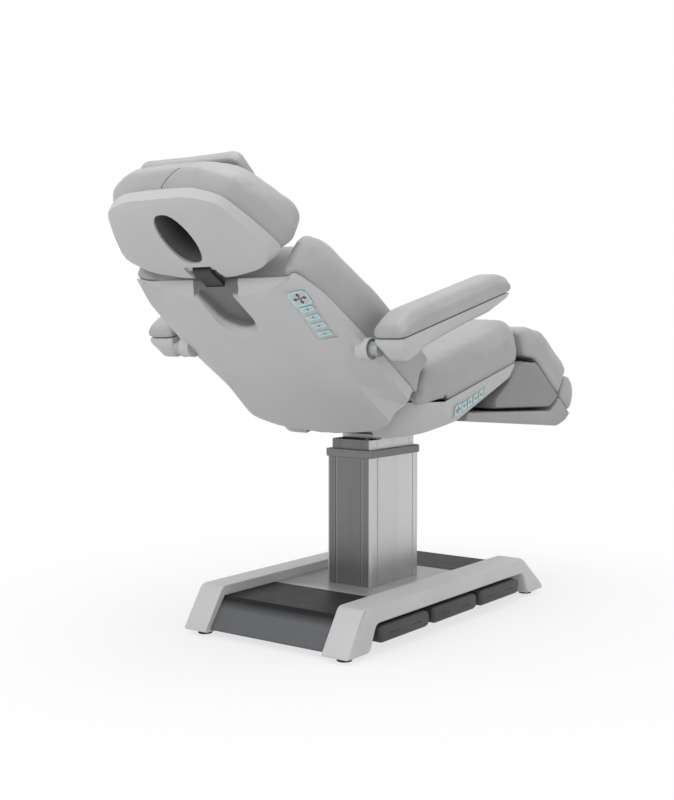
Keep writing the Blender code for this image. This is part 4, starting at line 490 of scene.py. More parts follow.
def slot_material(slot):
    """The shared material of one slot, made on its first use."""
    name = "table_" + slot
    if name in bpy.data.materials:
        return bpy.data.materials[name]
    c = colours()
    makers = {
        "shell": lambda: moulded_plastic(name, c.shell, 0.46),
        "upholstery": lambda: leather(name, c.upholstery),
        "dark_plastic": lambda: moulded_plastic(name, toned(c.dark_plastic, 0.8), 0.52, 1000.0, 0.00010),
        "rubber": lambda: soft_rubber(name, c.rubber),
        "collar_plastic": lambda: moulded_plastic(name, c.collar, 0.42),
        "brushed_aluminium": lambda: brushed_metal(
            # Both column materials draw painted shade on their wide faces
            name, c.aluminium, c.painted_face_shade, COLUMN_LENGTH / 2.0, COLUMN_FACE
        ),
        "inner_aluminium": lambda: brushed_metal(
            name, c.aluminium, c.painted_face_shade, INNER_LENGTH / 2.0, INNER_FACE
        ),
        # Painted light: the covers are drawn darker on the top and lighter down the slope
        "cover_plastic_painted_light": lambda: cover_plastic_painted_light(name, c.dark_plastic),
        "rail_shell": lambda: moulded_plastic(name, toned(c.shell, 1.14), 0.42),
        # Painted shade: the calf shell and foot tray are the shell colour darkened, for the shade under the
        # leg rest
        "shaded_calf_shell": lambda: moulded_plastic(name, toned(c.shell, 0.48), 0.46),
        "shaded_tray_shell": lambda: moulded_plastic(name, toned(c.shell, 0.66), 0.46),
        # Painted shade on the back shell's trough wall
        "trough_shell_painted_shade": lambda: moulded_plastic(name, c.shell, 0.46, shade=trough_shade),
        # Painted shade for the face hole's lining
        "hole_shade": lambda: moulded_plastic(name, c.hole_shade, 0.7),
        "link": lambda: painted_metal(name, c.link, 0.38, 0.3),
        "bar": lambda: painted_metal(name, c.bar, 0.5, 0.4),
        "glossy_plastic": lambda: moulded_plastic(name, c.glossy, 0.30, 500.0, 0.00002),
        "steel": lambda: painted_metal(name, c.steel),
        "key_film": lambda: printed_film(name, c.film),
        "cyan": lambda: printed_film(name, c.cyan, 0.4),
        "engraved": lambda: printed_film(name, c.engraved, 0.6),
        "mark": lambda: printed_film(name, c.mark, 0.5),
        "teal": lambda: moulded_plastic(name, c.teal, 0.2, 900.0, 0.00003),
    }
    return makers[slot]()


# Mesh helpers


def coordinates(mesh):
    """A mesh's vertices as rows of x, y, z."""
    points = np.zeros(len(mesh.vertices) * 3, np.float32)
    mesh.vertices.foreach_get("co", points)
    return points.reshape(-1, 3).astype(float)


def set_coordinates(mesh, points):
    """Writes the vertices back."""
    mesh.vertices.foreach_set("co", np.asarray(points, np.float32).ravel())
    mesh.update()


def new_object(name, mesh):
    """An object at the origin that holds the mesh."""
    thing = bpy.data.objects.new(name, mesh)
    bpy.context.scene.collection.objects.link(thing)
    return thing


def merged_copy(node, name, flat=math.radians(0.7), sharp=math.radians(30.0)):
    """A copy of a CAD node with its doubles merged, its flats joined and its sharp edges marked."""
    mesh = frame["nodes"][node].data.copy()
    mesh.materials.clear()
    work = bmesh.new()
    work.from_mesh(mesh)
    bmesh.ops.remove_doubles(work, verts=work.verts, dist=SAME_CORNER)
    if flat > 0.0:
        bmesh.ops.dissolve_limit(
            work, angle_limit=flat, verts=work.verts, edges=work.edges
        )
    for face in work.faces:
        face.smooth = True
    for edge in work.edges:
        edge.smooth = len(edge.link_faces) == 2 and edge.calc_face_angle(0.0) < sharp
    work.to_mesh(mesh)
    work.free()
    return new_object(name, mesh)


def bodies_of_nodes():
    """Each CAD node's body."""
    return {
        node: body
        for body, nodes in frame["record"]["behaviour"]["bodies"].items()
        for node in nodes
    }


def finish_piece(piece, slot, body, material=None):
    """The piece gets its material, its slot's own where none is given, and its body."""
    piece.data.materials.append(material or slot_material(slot))
    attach(piece, body)
    return piece


def new_piece(name, mesh, slot, body, finish):
    """A piece of the script's own: an object with its finish's material and its body; its slot goes unused.
    """
    return finish_piece(new_object(name, mesh), slot, body, slot_material(finish))


def dressed(node, slot, edge, sharp=math.radians(30.0), material=None):
    """A smooth, edge-rounded copy stands for the CAD node."""
    piece = merged_copy(node, node + "_dressed", sharp=sharp)
    if edge > 0.0:
        rounding = piece.modifiers.new("rounded_edges", "BEVEL")
        rounding.width = edge
        rounding.segments = 2
        rounding.limit_method = "ANGLE"
        rounding.angle_limit = sharp
        rounding.use_clamp_overlap = True
        rounding.harden_normals = True
        rounding.miter_outer = "MITER_ARC"
    finish_piece(piece, slot, bodies_of_nodes()[node], material)
    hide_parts(node)
    return piece


def grid_mesh(name, points, close_u=False, close_v=False):
    """A mesh of four-sided faces over a grid of points, closed along either way on request."""
    rows, columns = points.shape[:2]
    index = np.arange(rows * columns).reshape(rows, columns)
    across = np.roll(index, -1, axis=0) if close_u else index[1:]
    first = index if close_u else index[:-1]
    if close_v:
        a, b = first, across
        c, d = np.roll(across, -1, axis=1), np.roll(first, -1, axis=1)
    else:
        a, b, c, d = first[:, :-1], across[:, :-1], across[:, 1:], first[:, 1:]
    faces = np.stack([a, b, c, d], axis=-1).reshape(-1, 4)
    mesh = bpy.data.meshes.new(name)
    mesh.from_pydata(points.reshape(-1, 3).tolist(), [], faces.tolist())
    mesh.polygons.foreach_set("use_smooth", [True] * len(mesh.polygons))
    mesh.update()
    return mesh


def outward(mesh, merge=True):
    """The mesh's faces are turned outwards, after its doubles are merged where that is wanted."""
    work = bmesh.new()
    work.from_mesh(mesh)
    if merge:
        bmesh.ops.remove_doubles(work, verts=work.verts, dist=SAME_POINT)
    bmesh.ops.recalc_face_normals(work, faces=work.faces)
    work.to_mesh(mesh)
    work.free()


def swept_tube(name, path, radius, sides=12, closed=False):
    """A round tube: at each point of the path stands a ring of the given radius,
    at the angle 2 pi j / sides, square to the path's direction."""
    path = np.asarray(path, float)
    if closed:
        along = np.roll(path, -1, axis=0) - np.roll(path, 1, axis=0)
    else:
        along = np.gradient(path, axis=0)
    along /= np.linalg.norm(along, axis=1, keepdims=True)
    side = np.cross(along, np.array([0.31, 0.17, 0.935]))
    side /= np.linalg.norm(side, axis=1, keepdims=True)
    other = np.cross(along, side)
    angles = np.linspace(0.0, 2.0 * math.pi, sides, endpoint=False)
    rings = (
        path[:, None, :]
        + radius * np.cos(angles)[None, :, None] * side[:, None, :]
        + radius * np.sin(angles)[None, :, None] * other[:, None, :]
    )
    mesh = grid_mesh(name, rings, close_u=closed, close_v=True)
    if not closed:
        work = bmesh.new()
        work.from_mesh(mesh)
        bmesh.ops.holes_fill(work, edges=work.edges)
        work.to_mesh(mesh)
        work.free()
    outward(mesh)
    return mesh


def face_frame(node, way, along):
    """The centre, two directions and normal of the face of a CAD node that looks most along a
    way, and its half sizes: the middle of its corners' span along each direction."""
    mesh = frame["nodes"][node].data
    mesh.calc_loop_triangles()
    points = coordinates(mesh)
    triangles = np.array([t.vertices for t in mesh.loop_triangles])
    a, b, c = points[triangles[:, 0]], points[triangles[:, 1]], points[triangles[:, 2]]
    cross = np.cross(b - a, c - a)
    area = np.linalg.norm(cross, axis=1)
    normals = cross / np.maximum(area, 1e-12)[:, None]
    way = np.asarray(way, float) / np.linalg.norm(way)
    facing = normals @ way > ROUGHLY_ALONG
    best = normals[facing][np.argmax(area[facing])]
    chosen = np.unique(triangles[normals @ best > EXACTLY_ALONG].ravel())
    level = points[chosen] @ best
    flat = points[chosen[level > level.max() - FACE_LEVEL]]
    u = np.asarray(along, float) - np.dot(along, best) * best
    u /= np.linalg.norm(u)
    v = np.cross(best, u)
    pu, pv = flat @ u, flat @ v
    middle = u * (pu.max() + pu.min()) / 2.0 + v * (pv.max() + pv.min()) / 2.0
    at = (middle + best * level.max(), u, v, best)
    return at, (pu.max() - pu.min()) / 2.0, (pv.max() - pv.min()) / 2.0


def rounded_loop(half_u, half_v, radius, steps=6):
    """A rounded rectangle's outline: four quarter circles joined by straight sides."""
    angles = np.linspace(0.0, math.pi / 2.0, steps)
    loop = []
    for turn, (su, sv) in enumerate(((1, 1), (-1, 1), (-1, -1), (1, -1))):
        a = angles + turn * math.pi / 2.0
        loop.append(
            np.stack(
                [
                    su * (half_u - radius) + radius * np.cos(a),
                    sv * (half_v - radius) + radius * np.sin(a),
                ],
                axis=1,
            )
        )
    return np.concatenate(loop)


def flat_ring(name, at, half_u, half_v, radius, width, rise):
    """A thin raised line: a rounded rectangle's outline, carried between two sizes that differ
    by the width, with its top one rise above the face and its foot just below it."""
    middle, u, v, normal = at
    outer = rounded_loop(half_u, half_v, radius)
    inner = rounded_loop(half_u - width, half_v - width, max(radius - width, 0.0004))
    rows = []
    for loop, level in ((outer, -rise), (outer, rise), (inner, rise), (inner, -rise)):
        rows.append(middle + loop @ np.stack([u, v]) + level * normal)
    mesh = grid_mesh(name, np.stack(rows), close_u=True, close_v=True)
    outward(mesh)
    return mesh


def flat_marks(name, at, shapes, rise):
    """Flat printed shapes: each outline in the face's plane is raised to a thin slab. A point is
    the middle plus x and y times the face's directions, one rise below or above the face."""
    middle, u, v, normal = at
    points, faces, start = [], [], 0
    for shape in shapes:
        flat = middle + np.asarray(shape, float) @ np.stack([u, v])
        points += [flat - rise * normal, flat + rise * normal]
        foot = start + np.arange(len(flat))
        top = foot + len(flat)
        faces += [top.tolist(), foot[::-1].tolist()]
        faces += np.stack([foot, np.roll(foot, -1), np.roll(top, -1), top], axis=1).tolist()
        start += 2 * len(flat)
    mesh = bpy.data.meshes.new(name)
    mesh.from_pydata(np.concatenate(points).tolist(), [], faces)
    outward(mesh, merge=False)
    return mesh


# Padding


def evaluated_mesh(piece):
    """The piece's mesh with its modifiers applied."""
    bpy.context.view_layer.update()
    view = bpy.context.evaluated_depsgraph_get()
    return bpy.data.meshes.new_from_object(piece.evaluated_get(view))


def apply_modifiers(piece):
    """The piece's modifiers become its mesh."""
    mesh = evaluated_mesh(piece)
    piece.modifiers.clear()
    piece.data = mesh
    return mesh


def vertex_normals(mesh):
    """A mesh's vertex normals as rows."""
    normals = np.zeros(len(mesh.vertices) * 3, np.float32)
    mesh.vertex_normals.foreach_get("vector", normals)
    return normals.reshape(-1, 3).astype(float)


def soften(piece, rounds):
    """The piece's points move halfway to their neighbours' middle, round by round."""
    smooth = piece.modifiers.new("soften", "SMOOTH")
    smooth.factor = 0.5
    smooth.iterations = rounds
    apply_modifiers(piece)


def smooth_step(value):
    """0 below 0, 1 above 1, and three times the square less twice the cube between."""
    step = np.clip(value, 0.0, 1.0)
    return step * step * (3.0 - 2.0 * step)


def swell(piece, cap, pressure):
    """Cloth under air pressure for some frames; returns the points it reaches. No point moves
    further than the cap."""
    before = coordinates(piece.data)
    cloth = piece.modifiers.new("air", "CLOTH")
    for name, value in CLOTH.items():
        setattr(cloth.settings, name, value)
    cloth.settings.use_pressure = True
    cloth.settings.uniform_pressure_force = pressure
    cloth.settings.effector_weights.gravity = 0.0
    cloth.collision_settings.use_collision = False
    scene = bpy.context.scene
    for step in range(1, CLOTH_FRAMES + 1):
        scene.frame_set(step)
    view = bpy.context.evaluated_depsgraph_get()
    after = coordinates(piece.evaluated_get(view).data)
    piece.modifiers.clear()
    scene.frame_set(1)
    move = after - before
    reach = np.linalg.norm(move, axis=1, keepdims=True)
    return before + move * np.minimum(1.0, cap / np.maximum(reach, 1e-9))


def padding(node, rows, voxel, relax=8, cap=None, hold=None):
    """A padded piece over a CAD cushion: its solid drawn in a little, remeshed into even
    cells, relaxed, swollen by air and subdivided. The underside keeps the solid's place, by the
    up direction in the frame's rows, and hold gives each point a share of its swelling."""
    s = sizes()
    cap = s.cap if cap is None else cap
    up = rows[2]
    piece = merged_copy(node, node + "_padded", flat=0.0)
    solid = coordinates(piece.data)
    set_coordinates(piece.data, solid - vertex_normals(piece.data) * s.shrink)
    cells = piece.modifiers.new("cells", "REMESH")
    cells.mode = "VOXEL"
    cells.voxel_size = voxel
    apply_modifiers(piece)
    soften(piece, relax)
    rest = coordinates(piece.data)
    normals = vertex_normals(piece.data)
    full = swell(piece, cap, s.pressure)
    weight = np.clip((normals @ up + SWELL_START) / SWELL_BLEND, 0.0, 1.0)
    if hold is not None:
        weight = weight * hold(rest)
    set_coordinates(piece.data, rest + (full - rest) * weight[:, None])
    soften(piece, AFTER_ROUNDS)
    finer = piece.modifiers.new("finer", "SUBSURF")
    finer.levels = 1
    finer.render_levels = 1
    apply_modifiers(piece)
    piece.data.materials.clear()
    piece.data.polygons.foreach_set("use_smooth", [True] * len(piece.data.polygons))
    points = coordinates(piece.data)
    down = np.clip((-(vertex_normals(piece.data) @ up) - UNDER_START) / UNDER_BLEND, 0.0, 1.0)
    set_coordinates(piece.data, points - down[:, None] * (s.shrink + s.sag) * up)
    finish_piece(piece, "upholstery", bodies_of_nodes()[node])
    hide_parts(node)
    return piece


def clear_of_hole(points):
    """0 beside the face hole and 1 away from it: a smooth step of the point's distance from the
    hole's axis, in shares of the oval's half sizes."""
    local = (points - np.array(HEAD_ORIGIN)) @ HEAD_FRAME.T
    away = np.hypot((local[:, 0] - HOLE_CENTRE) / HOLE_HALF_LENGTH, local[:, 1] / HOLE_HALF_WIDTH)
    return smooth_step((away - HOLD_START) / HOLD_BLEND)


def surface_tree(mesh):
    """A mesh's faces, to look points up on."""
    faces = [polygon.vertices[:] for polygon in mesh.polygons]
    return BVHTree.FromPolygons(coordinates(mesh).tolist(), faces)


def nearest_on(piece, points):
    """The points of a piece's surface nearest to the given ones, and the normals there."""
    tree = surface_tree(piece.data)
    found = [tree.find_nearest(Vector(point)) for point in points]
    return np.array([hit[0] for hit in found]), np.array([hit[1] for hit in found])


def sewn_line(piece, name, corners, body, steps=40):
    """A sewn line: its path runs straight between corners, is dropped onto the padding, and
    pulls the padding in by depth times exp(-(distance / width) squared). A thread lies in it."""
    s = sizes()
    lengths = np.concatenate([[0.0], np.cumsum(np.linalg.norm(np.diff(corners, axis=0), axis=1))])
    at = np.linspace(0.0, lengths[-1], steps)
    path = np.stack([np.interp(at, lengths, corners[:, k]) for k in range(3)], axis=1)
    path, _ = nearest_on(piece, path)
    points = coordinates(piece.data)
    away = np.sqrt(((points[:, None, :] - path[None, :, :]) ** 2).sum(axis=2)).min(axis=1)
    sink = s.seam_depth * np.exp(-((away / s.seam_width) ** 2))
    set_coordinates(piece.data, points - vertex_normals(piece.data) * sink[:, None])
    path, normal = nearest_on(piece, path)
    mesh = swept_tube(name, path + normal * s.thread * THREAD_RISE_SHARE, s.thread, 8)
    # The thread is a real piece; its dark mark colour is painted shade for the slit it lies in
    return new_piece(name, mesh, "upholstery", body, "mark")


def settle_rim(piece, shell, edge):
    """The outer rim of the underside sinks onto the shell below it. Rays down from the rim give
    the gap along the seat, and a point sinks by that gap, times how far down the surface looks,
    times a smooth step across the last of the half width."""
    points = coordinates(piece.data)
    up = SEAT_FRAME[2]
    down = -(vertex_normals(piece.data) @ up)
    along = points @ SEAT_FRAME[0]
    side = np.abs(points[:, 1])
    tree = surface_tree(frame["nodes"][shell].data)
    rim = np.where((down > RIM_DOWN) & (side > edge) & (side < edge + RIM_WIDTH))[0]
    gaps = []
    for index in rim:
        hit = tree.ray_cast(Vector(points[index]), Vector(-up), RIM_RAY)
        if hit[0] is not None:
            gaps.append((along[index], hit[3]))
    gaps = np.array(sorted(gaps))
    bins = np.linspace(gaps[0, 0], gaps[-1, 0], RIM_BINS)
    near = [np.abs(gaps[:, 0] - value) < RIM_BIN_REACH for value in bins]
    depth = np.array([np.percentile(gaps[rows, 1], 20) if rows.any() else 0.0 for rows in near])
    sink = np.clip(np.interp(along, bins, depth) - RIM_LEFT, 0.0, RIM_MOST)
    step = smooth_step((side - edge + RIM_BLEND_START) / RIM_BLEND)
    share = step * np.clip((down - UNDER_START) / RIM_DOWN_BLEND, 0.0, 1.0)
    set_coordinates(piece.data, points - (sink * share)[:, None] * up)


class TREATMENTTABLE_OT_base(Operator):
    """Dresses the floor base: rails, covers, centre plate, chassis, feet and inlet"""

    bl_idname = "treatment_table.base"
    bl_label = "Base"

    def execute(self, context):
        s = sizes()
        for side in ("left", "right"):
            dressed("base_rail_" + side, "shell", s.rail_edge, material=slot_material("rail_shell"))
            for end in ("front", "rear"):
                dressed("rubber_foot_" + end + "_" + side, "rubber", s.part_edge)
        for end in ("rear", "front"):
            # The covers' material holds painted light: lighter down the slope, darker on the top
            cover = slot_material("cover_plastic_painted_light")
            dressed("base_" + end + "_cover", "dark_plastic", s.part_edge, material=cover)
        dressed("base_centre_plate", "glossy_plastic", s.part_edge)
        dressed("base_frame", "steel", s.metal_edge)
        dressed("power_inlet", "dark_plastic", s.metal_edge)
        return {"FINISHED"}


class TREATMENTTABLE_OT_column(Operator):
    """Dresses the lifting column: brushed tubes, collar and lift actuator"""

    bl_idname = "treatment_table.column"
    bl_label = "Column"

    def execute(self, context):
        s = sizes()
        inner = slot_material("inner_aluminium")
        dressed("column_outer", "brushed_aluminium", s.metal_edge, COLUMN_SHARP)
        dressed("column_inner", "brushed_aluminium", s.metal_edge, COLUMN_SHARP, inner)
        dressed("column_collar", "collar_plastic", s.part_edge)
        dressed("column_head", "steel", s.metal_edge, material=inner)
        for node in ("lift_actuator", "tilt_rod", "tilt_cradle"):
            dressed(node, "steel", s.metal_edge)
        return {"FINISHED"}


class TREATMENTTABLE_OT_pedals(Operator):
    """Dresses the three foot pedals and adds their arrow marks"""

    bl_idname = "treatment_table.pedals"
    bl_label = "Foot pedals"

    def execute(self, context):
        s = sizes()
        head = s.pedal_mark / 2.0
        for place in ("rear", "middle", "front"):
            node = "pedal_" + place
            dressed(node, "dark_plastic", s.part_edge)
            at, half, _ = face_frame(node, PEDAL_WAY, (1.0, 0.0, 0.0))
            shapes = []
            for way in (-1.0, 1.0):
                tip, tail = way * half * PEDAL_TIP_SHARE, way * half * PEDAL_TAIL_SHARE
                neck, wing = tip - way * head * ARROW_LENGTH_SHARE, head * ARROW_WING_SHARE
                shapes.append([(tip, 0.0), (neck, wing), (neck, -wing)])
                line = s.pedal_line / 2.0
                shapes.append([(neck, line), (tail, line), (tail, -line), (neck, -line)])
            mesh = flat_marks(node + "_marks", at, shapes, s.mark_rise)
            new_piece(node + "_marks", mesh, "dark_plastic", bodies_of_nodes()[node], "engraved")
        return {"FINISHED"}


class TREATMENTTABLE_OT_shells(Operator):
    """Dresses the moulded shells of the seat, back, head, legs and foot end"""

    bl_idname = "treatment_table.shells"
    bl_label = "Shells"

    def execute(self, context):
        s = sizes()
        for node, finish in (
            ("seat_shell", "shell"),
            ("headrest_shell", "shell"),
            # The calf shell and foot tray get painted shade in their darkened shell colour
            ("leg_shell", "shaded_calf_shell"),
            ("foot_shell", "shaded_tray_shell"),
            # The back shell's trough wall gets painted shade
            ("back_shell", "trough_shell_painted_shade"),
        ):
            dressed(node, "shell", s.shell_edge, material=slot_material(finish))
        return {"FINISHED"}


class TREATMENTTABLE_OT_mechanism(Operator):
    """Dresses the steel frames, bars, actuators and the control box"""

    bl_idname = "treatment_table.mechanism"
    bl_label = "Mechanism"

    def execute(self, context):
        s = sizes()
        for node in ("control_box", "tilt_actuator", "back_actuator", "leg_actuator"):
            dressed(node, "dark_plastic", s.metal_edge)
        taken = {"column_head", "lift_actuator", "tilt_rod", "tilt_cradle", "base_frame"}
        for entry in frame["record"]["subparts"]:
            node = entry["node"]
            if entry["material_slot"] != "steel" or node in taken:
                continue
            finish = "steel"
            # The head bar's near-black colour is painted shade
            if node == "headrest_bar":
                finish = "bar"
            if node.startswith("armrest_pivot"):
                finish = "link"
            dressed(node, "steel", s.metal_edge, material=slot_material(finish))
        return {"FINISHED"}


class TREATMENTTABLE_OT_armrests(Operator):
    """Dresses the armrests: moulded shells, padding and pivot rings"""

    bl_idname = "treatment_table.armrests"
    bl_label = "Armrests"

    def execute(self, context):
        s = sizes()
        for side, sign in (("left", 1.0), ("right", -1.0)):
            dressed("armrest_shell_" + side, "shell", s.shell_edge)
            cell = s.voxel * ARM_CELL_SHARE
            padding("armrest_cushion_" + side, SEAT_FRAME, cell, relax=4, cap=ARM_CAP)
            turn = np.linspace(0.0, 2.0 * math.pi, 40, endpoint=False)
            for part, radius, reach, tube, finish in (
                ("rim", s.ring_radius + RIM_STEP, RING_REACH, s.ring_tube * 1.5, "shell"),
                ("accent", s.ring_radius, RING_REACH + RING_LIFT, s.ring_tube, "teal"),
            ):
                across = np.full(len(turn), sign * reach)
                ring = np.stack([radius * np.cos(turn), across, radius * np.sin(turn)], axis=1)
                path = np.array(ARM_PIVOT) + ring
                name = "armrest_pivot_" + part + "_" + side
                mesh = swept_tube(name, path, tube, 10, closed=True)
                new_piece(name, mesh, "shell", "back", finish)
        return {"FINISHED"}


def quarter_turns(count):
    """Rows that turn points in a plane by some quarter turns."""
    c, d = math.cos(count * math.pi / 2.0), math.sin(count * math.pi / 2.0)
    return np.array([(c, d), (-d, c)])


class TREATMENTTABLE_OT_keypads(Operator):
    """Dresses both keypads: plates, key faces, cyan outlines and arrow marks"""

    bl_idname = "treatment_table.keypads"
    bl_label = "Keypads"

    def execute(self, context):
        s = sizes()
        body = bodies_of_nodes()
        rise = s.mark_rise
        for part, way, rows in (("back", BACK_PAD_WAY, BACK_FRAME), ("seat", SEAT_PAD_WAY, SEAT_FRAME)):
            plate = slot_material("shell")
            dressed(part + "_keypad", "glossy_plastic", s.metal_edge, material=plate)
            for key in ("key_pad", "key_1", "key_2", "key_3", "key_4"):
                node = part + "_" + key
                dressed(node, "key_film", s.metal_edge)
                at, half_u, half_v = face_frame(node, way, rows[0])
                size = min(half_u, half_v)
                outline = (half_u - KEY_INSET, half_v - KEY_INSET, size * KEY_ROUND_SHARE)
                ring = flat_ring(node + "_outline", at, *outline, s.outline, rise)
                new_piece(node + "_outline", ring, "key_film", body[node], "cyan")
                if key == "key_pad":
                    arrow = size * np.array(PAD_ARROW)
                    shapes = [arrow @ quarter_turns(count) for count in range(4)]
                else:
                    sign = 1.0 if key in ("key_1", "key_3") else -1.0
                    shapes = [sign * size * np.array(KEY_ARROW) * np.array(KEY_STRETCH)]
                mesh = flat_marks(node + "_mark", at, shapes, rise)
                new_piece(node + "_mark", mesh, "key_film", body[node], "mark")
        return {"FINISHED"}


class TREATMENTTABLE_OT_cushions(Operator):
    """Makes the padding of the seat, back, calves and feet"""

    bl_idname = "treatment_table.cushions"
    bl_label = "Cushions"

    def execute(self, context):
        s = sizes()
        seat = padding("seat_cushion", SEAT_FRAME, s.voxel)
        settle_rim(seat, "seat_shell", SEAT_RIM)
        padding("back_cushion", BACK_FRAME, s.large_voxel)
        padding("leg_cushion", LEG_FRAME, s.voxel)
        padding("foot_cushion", LEG_FRAME, s.voxel)
        return {"FINISHED"}


def hole_ring(drawn, up, steps=48):
    """A ring of points in the face hole: its oval drawn in by a distance, at a height."""
    turn = np.linspace(0.0, 2.0 * math.pi, steps, endpoint=False)
    along = HOLE_CENTRE + (HOLE_HALF_LENGTH - drawn) * np.cos(turn)
    across = (HOLE_HALF_WIDTH - drawn) * np.sin(turn)
    return np.array(HEAD_ORIGIN) + np.stack([along, across, np.full(steps, up)], axis=1) @ HEAD_FRAME


class TREATMENTTABLE_OT_head(Operator):
    """Makes the head rest's padding and its loose pillow"""

    bl_idname = "treatment_table.head"
    bl_label = "Head rest padding"

    def execute(self, context):
        s = sizes()
        cell = s.voxel * HEAD_CELL_SHARE
        head = padding("headrest_cushion", HEAD_FRAME, cell, hold=clear_of_hole)
        padding("headrest_pillow", HEAD_FRAME, cell, relax=6)
        corners = np.array(HEAD_ORIGIN) + np.array(SLIT) @ HEAD_FRAME
        sewn_line(head, "headrest_seam", corners, "head")
        levels = (HOLE_MOUTH, HOLE_MIDDLE, HOLE_TOP)
        rows = [hole_ring(s.lining, up) for up in levels]
        rows += [hole_ring(2.0 * s.lining, up) for up in reversed(levels)]
        # A sheet in the face hole, drawn near black as painted shade
        mesh = grid_mesh("face_hole_shade_lining", np.stack(rows), close_u=True, close_v=True)
        outward(mesh)
        new_piece("face_hole_shade_lining", mesh, "upholstery", "head", "hole_shade")
        return {"FINISHED"}


def background_rays(tree):
    """1 for the rays that see the background: the camera's, and those that metal or glass
    sends on."""
    rays = add_node(tree, "ShaderNodeLightPath").outputs
    seen = calculate(tree, "MAXIMUM", rays["Is Camera Ray"], rays["Is Glossy Ray"])
    return calculate(tree, "MAXIMUM", seen, rays["Is Transmission Ray"])


def make_floor():
    """A wide flat floor that keeps the table's shadow. Seen from the camera it fades to white
    with the distance from the table."""
    corners = [(-1.0, -1.0, 0.0), (1.0, -1.0, 0.0), (1.0, 1.0, 0.0), (-1.0, 1.0, 0.0)]
    mesh = bpy.data.meshes.new("floor")
    mesh.from_pydata((np.array(corners) * FLOOR_REACH).tolist(), [], [(0, 1, 2, 3)])
    floor = new_object("floor", mesh)
    material, tree, shader, place = new_material("table_floor", 0.9, specular=0.1)
    tint(tree, noise(tree, place, 0.6, 2.0, 0.5), shader, colours().floor, 0.995, 1.005)
    far = add_node(tree, "ShaderNodeVectorMath", {"operation": "LENGTH"}, links={0: place})
    fade = rescale(tree, far.outputs["Value"], *FADE_SPAN, FADE_NEAR, 1.0, smooth=True)
    seen = calculate(tree, "MULTIPLY", fade, background_rays(tree))
    white = add_node(tree, "ShaderNodeEmission", values={"Strength": 1.0})
    links = {0: seen, 1: shader.outputs[0], 2: white.outputs[0]}
    blend = add_node(tree, "ShaderNodeMixShader", links=links)
    tree.links.new(blend.outputs[0], tree.nodes["Material Output"].inputs["Surface"])
    mesh.materials.append(material)


def make_world():
    """An even white sky. The background is full white, and the light on the table is less."""
    world = bpy.data.worlds.new("table_world")
    bpy.context.scene.world = world
    world.use_nodes = True
    tree = world.node_tree
    tree.nodes.clear()
    light, seen = (
        add_node(tree, "ShaderNodeBackground", values={"Color": (1.0, 1.0, 1.0, 1.0), "Strength": strength})
        for strength in (SKY_LIGHT, 1.0)
    )
    links = {0: background_rays(tree), 1: light.outputs[0], 2: seen.outputs[0]}
    mix = add_node(tree, "ShaderNodeMixShader", links=links)
    add_node(tree, "ShaderNodeOutputWorld", links={0: mix.outputs[0]})


def make_lamps():
    """Four wide soft lamps round the table."""
    for name, spot, size, power in LAMPS:
        data = bpy.data.lights.new(name, "AREA")
        data.shape = "DISK"
        data.size = size
        data.energy = power
        lamp = bpy.data.objects.new(name, data)
        bpy.context.scene.collection.objects.link(lamp)
        aim = (Vector(LAMP_AIM) - Vector(spot)).to_track_quat("-Z", "Y")
        lamp.matrix_world = Matrix.Translation(spot) @ aim.to_matrix().to_4x4()


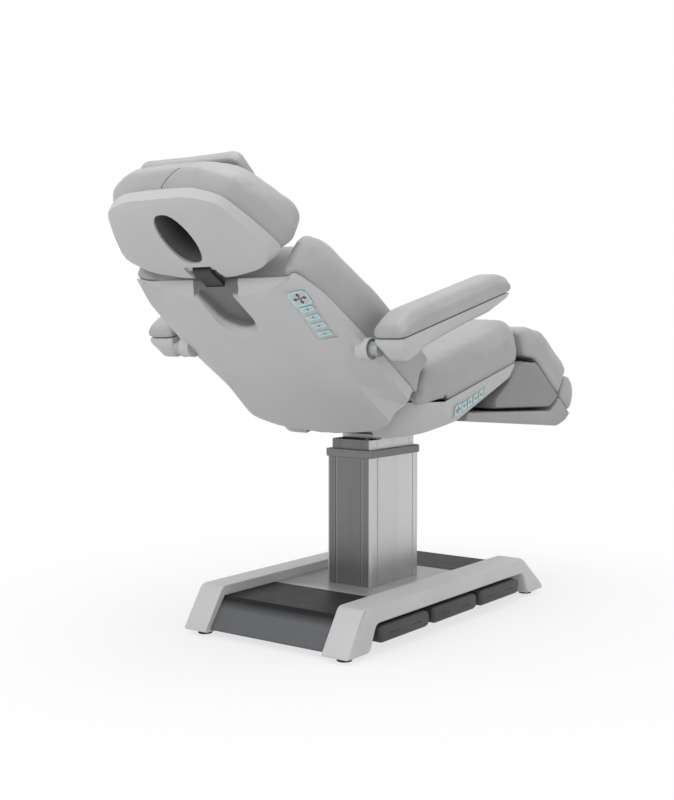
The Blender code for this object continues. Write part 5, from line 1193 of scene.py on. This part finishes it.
def make_camera():
    """The photograph's camera: it looks level with the turn, tipped down a little."""
    data = bpy.data.cameras.new("photo_camera")
    data.lens = CAMERA_LENS
    data.sensor_width = CAMERA_SENSOR
    data.sensor_fit = "AUTO"
    data.clip_end = 100.0
    camera = bpy.data.objects.new("photo_camera", data)
    bpy.context.scene.collection.objects.link(camera)
    level = math.cos(CAMERA_DOWN)
    forward = Vector(
        (math.sin(CAMERA_TURN) * level, math.cos(CAMERA_TURN) * level, -math.sin(CAMERA_DOWN))
    )
    right = forward.cross(Vector((0.0, 0.0, 1.0))).normalized()
    pose = Matrix((right, right.cross(forward), -forward)).transposed().to_4x4()
    pose.translation = Vector(CAMERA_PLACE)
    camera.matrix_world = pose
    bpy.context.scene.camera = camera


class TREATMENTTABLE_OT_stage(Operator):
    """Sets the floor, the background, the soft lamps and the photograph's camera"""

    bl_idname = "treatment_table.stage"
    bl_label = "Stage"

    def execute(self, context):
        bpy.context.scene.view_settings.view_transform = "Standard"
        make_floor()
        make_world()
        make_lamps()
        make_camera()
        return {"FINISHED"}


OPERATORS = (
    TREATMENTTABLE_OT_base,
    TREATMENTTABLE_OT_column,
    TREATMENTTABLE_OT_pedals,
    TREATMENTTABLE_OT_shells,
    TREATMENTTABLE_OT_mechanism,
    TREATMENTTABLE_OT_armrests,
    TREATMENTTABLE_OT_keypads,
    TREATMENTTABLE_OT_cushions,
    TREATMENTTABLE_OT_head,
    TREATMENTTABLE_OT_stage,
)


class TREATMENTTABLE_PT_panel(Panel):
    """Lists the pieces and their sizes and colours"""

    bl_label = "Treatment table"
    bl_idname = "TREATMENTTABLE_PT_panel"
    bl_space_type = "VIEW_3D"
    bl_region_type = "UI"
    bl_category = "Treatment table"

    def draw(self, context):
        layout = self.layout
        for operator in OPERATORS:
            layout.operator(operator.bl_idname)
        for group in (sizes(), colours()):
            box = layout.box()
            for name in group.__annotations__:
                box.prop(group, name)


CLASSES = (TreatmentTableSizes, TreatmentTableColours, *OPERATORS, TREATMENTTABLE_PT_panel)


def register():
    """Adds the classes and the scene's two groups of settings."""
    for item in CLASSES:
        bpy.utils.register_class(item)
    bpy.types.Scene.treatment_table_sizes = PointerProperty(type=TreatmentTableSizes)
    bpy.types.Scene.treatment_table_colours = PointerProperty(type=TreatmentTableColours)


def unregister():
    """Takes them away again."""
    del bpy.types.Scene.treatment_table_colours
    del bpy.types.Scene.treatment_table_sizes
    for item in reversed(CLASSES):
        bpy.utils.unregister_class(item)


def main():
    """Registers the add-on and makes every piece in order."""
    register()
    for operator in OPERATORS:
        group, name = operator.bl_idname.split(".")
        getattr(getattr(bpy.ops, group), name)()


if __name__ == "__main__":
    main()
